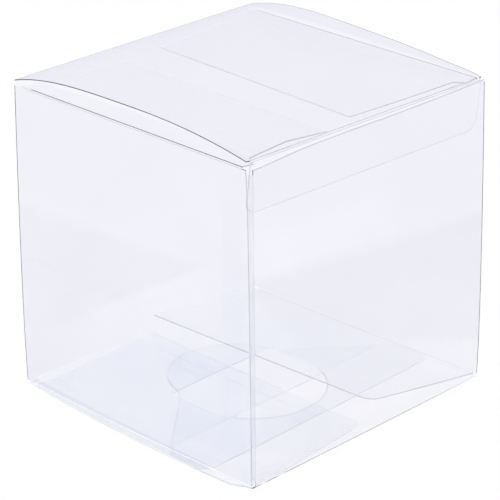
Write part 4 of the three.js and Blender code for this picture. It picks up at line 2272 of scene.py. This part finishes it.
@dataclass
class Studio:
    """The floor, the lamps, the surroundings and the camera.

    Attributes:
        azimuth: The camera's direction round the box, in degrees.
        elevation: Its height over the horizon, in degrees.
        roll: Its turn about its own line of sight, in degrees.
        place: Where it stands, in metres.
        lens: Its focal length, in millimetres.
        mirrored: What the surroundings look like in a reflection.
        ambient: How bright they are for everything that isn't clear.
        floor_white: How much of the floor's brightness doesn't depend on the lamps.
    """

    SENSOR = 36.0  # width of the camera's sensor, in millimetres
    FLOOR_REACH = 4.0
    PAPER = (0.92, 0.92, 0.93, 1.0)
    BLUER = 1.03  # how much more blue than red there is in the ambient light
    AIM = Vector((0.0, 0.0, 0.05))  # where the lamps point
    LAMPS = (  # name, place and width in metres, power in watts
        ("key_lamp", (-0.9, -0.5, 1.5), 1.2, 9.0),
        ("fill_lamp", (1.2, -0.9, 1.2), 1.2, 5.0),
    )

    azimuth: float = -44.753
    elevation: float = 23.768
    roll: float = -0.547
    place: Place = (-0.5124, -0.5164, 0.3673)
    lens: float = 185.5
    mirrored: Colour = (0.72, 0.73, 0.86)
    ambient: float = 0.85
    floor_white: float = 0.86

    def _seen_through(self, tree: Tree) -> tuple[bpy.types.NodeSocket, bpy.types.NodeSocket]:
        """Tells the rays that look at the background and those that mirror it.

        A ray that passed through a clear face counts as glossy too, so that is taken off.

        Args:
            tree: The tree that the nodes go in.

        Returns:
            The sockets for both, and for those that mirror it alone.
        """
        path = tree.node("ShaderNodeLightPath").outputs
        looks = tree.maths("MAXIMUM", path["Is Camera Ray"], path["Is Transmission Ray"])
        mirrors = tree.maths("GREATER_THAN", path["Is Glossy Ray"], path["Is Transmission Ray"])
        return tree.maths("MAXIMUM", looks, mirrors), mirrors

    def _backdrop_colour(self, tree: Tree, glossy: bpy.types.NodeSocket) -> bpy.types.NodeSocket:
        """Returns a socket for white, or for the mirrored colour in a reflection."""
        return tree.blend(glossy, (*WHITE, 1.0), (*self.mirrored, 1.0))

    def floor(self) -> None:
        """Makes the floor, white for the camera and still holding a part of the shadow."""
        reach = self.FLOOR_REACH
        mesh = bpy.data.meshes.new("floor")
        corners = [(-reach, -reach, 0), (reach, -reach, 0), (reach, reach, 0), (-reach, reach, 0)]
        mesh.from_pydata(corners, [], [(0, 1, 2, 3)])
        made = link(bpy.data.objects.new("floor", mesh))
        material = bpy.data.materials.new("studio_floor")
        material.use_nodes = True
        tree = Tree(material.node_tree)
        nodes = material.node_tree.nodes
        nodes.remove(nodes["Principled BSDF"])
        seen, glossy = self._seen_through(tree)
        glow = tree.node("ShaderNodeEmission")
        tree.set(glow.inputs["Color"], self._backdrop_colour(tree, glossy))
        paper = tree.node("ShaderNodeBsdfDiffuse")
        paper.inputs["Color"].default_value = self.PAPER
        both = tree.node("ShaderNodeMixShader")
        tree.set(both.inputs[0], tree.maths("MULTIPLY", seen, self.floor_white))
        tree.set(both.inputs[1], paper.outputs[0])
        tree.set(both.inputs[2], glow.outputs[0])
        tree.set(nodes["Material Output"].inputs["Surface"], both.outputs[0])
        mesh.materials.append(material)

    def surroundings(self) -> None:
        """Makes the world: white behind the box, and a soft light on it."""
        world = bpy.data.worlds.new("studio")
        world.use_nodes = True
        bpy.context.scene.world = world
        tree = Tree(world.node_tree)
        nodes = world.node_tree.nodes
        seen, glossy = self._seen_through(tree)
        light = (self.ambient, self.ambient, self.ambient * self.BLUER, 1.0)
        colour = tree.blend(seen, light, self._backdrop_colour(tree, glossy))
        tree.set(nodes["Background"].inputs["Color"], colour)

    def lamp(self, name: str, place: Place, size: float, power: float) -> None:
        """Makes a square soft lamp that points at the box.

        Args:
            name: The lamp's name.
            place: Where it hangs, in metres.
            size: The length of its sides, in metres.
            power: Its power, in watts.
        """
        data = bpy.data.lights.new(name, "AREA")
        data.shape = "SQUARE"
        data.size = size
        data.energy = power
        made = link(bpy.data.objects.new(name, data))
        made.location = place
        aim = self.AIM - Vector(place)
        made.rotation_euler = aim.to_track_quat("-Z", "Y").to_euler()

    def camera(self) -> None:
        """Makes the camera at the photograph's viewpoint."""
        data = bpy.data.cameras.new("camera")
        data.lens = self.lens
        data.sensor_width = self.SENSOR
        data.clip_start, data.clip_end = 0.01, 50.0
        made = link(bpy.data.objects.new("camera", data))
        a, e, r = (math.radians(v) for v in (self.azimuth, self.elevation, self.roll))
        back = Vector((math.sin(a) * math.cos(e), -math.cos(a) * math.cos(e), math.sin(e)))
        right = Vector((math.cos(a), math.sin(a), 0.0))
        up = back.cross(right)
        level_right = math.cos(r) * right + math.sin(r) * up
        level_up = -math.sin(r) * right + math.cos(r) * up
        turned = Matrix((level_right, level_up, back)).transposed().to_4x4()
        turned.translation = Vector(self.place)
        made.matrix_world = turned
        bpy.context.scene.camera = made

    def build(self) -> None:
        """Makes the whole studio."""
        self.floor()
        self.surroundings()
        for lamp in self.LAMPS:
            self.lamp(*lamp)
        self.camera()
        scene = bpy.context.scene
        scene.view_settings.view_transform = "Standard"
        scene.cycles.max_bounces = 48
        scene.cycles.transmission_bounces = 48
        scene.cycles.glossy_bounces = 16
        scene.cycles.transparent_max_bounces = 64


def main() -> None:
    """Builds every piece of the box and its studio."""
    logging.basicConfig(level=logging.INFO, format="%(name)s %(message)s")
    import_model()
    Studio().build()
    finishes = Finishes.make()
    crease_tree, lid_tree = CreaseTree(), LidTree()

    walls, lid, base = Walls(), Lid(), LockingBase()
    dust = (
        DustFlap(
            Side.LEFT,
            "left_dust_flap",
            Body.LEFT_DUST,
            hang_back=3.4,
            hang_front=3.8,
            bend=94.3,
            free=Rim.FAINT_CUT,
            level=26.0,
            belly=1.0,
        ),
        DustFlap(
            Side.RIGHT, "right_dust_flap", Body.RIGHT_DUST, hang_back=2.0, hang_front=4.0, bend=94.0
        ),
    )
    sides = (
        SideFlap(
            Side.LEFT,
            "base_left_side_flap",
            Body.LEFT_BASE,
            lift_front=0.3,
            lift_back=0.3,
            length_front=49.3,
            length_back=49.3,
            curl=0.7,
            sag=1.2,
            edge=left_side_edge,
        ),
        SideFlap(
            Side.RIGHT,
            "base_right_side_flap",
            Body.RIGHT_BASE,
            lift_front=9.2,
            lift_back=7.9,
            length_front=47.6,
            length_back=49.4,
            curl=0.3,
            front=-48.3,
            film=Film.RAISED_FLAP,
        ),
    )
    panels = [*walls.panels(), lid.tuck(), *base.panels()]
    panels += [flap.panel() for flap in (*dust, *sides)]
    for panel in (*panels, walls.seam()):
        panel.build(finishes)
    lid.build(lid_tree, finishes)

    creases = [*walls.creases(), lid.crease(walls.back_top), lid.tuck_crease(), *base.creases()]
    creases += [flap.crease() for flap in (*dust, *sides)]
    for crease in creases:
        crease.build(crease_tree, finishes)

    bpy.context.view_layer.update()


if __name__ == "__main__":
    main()
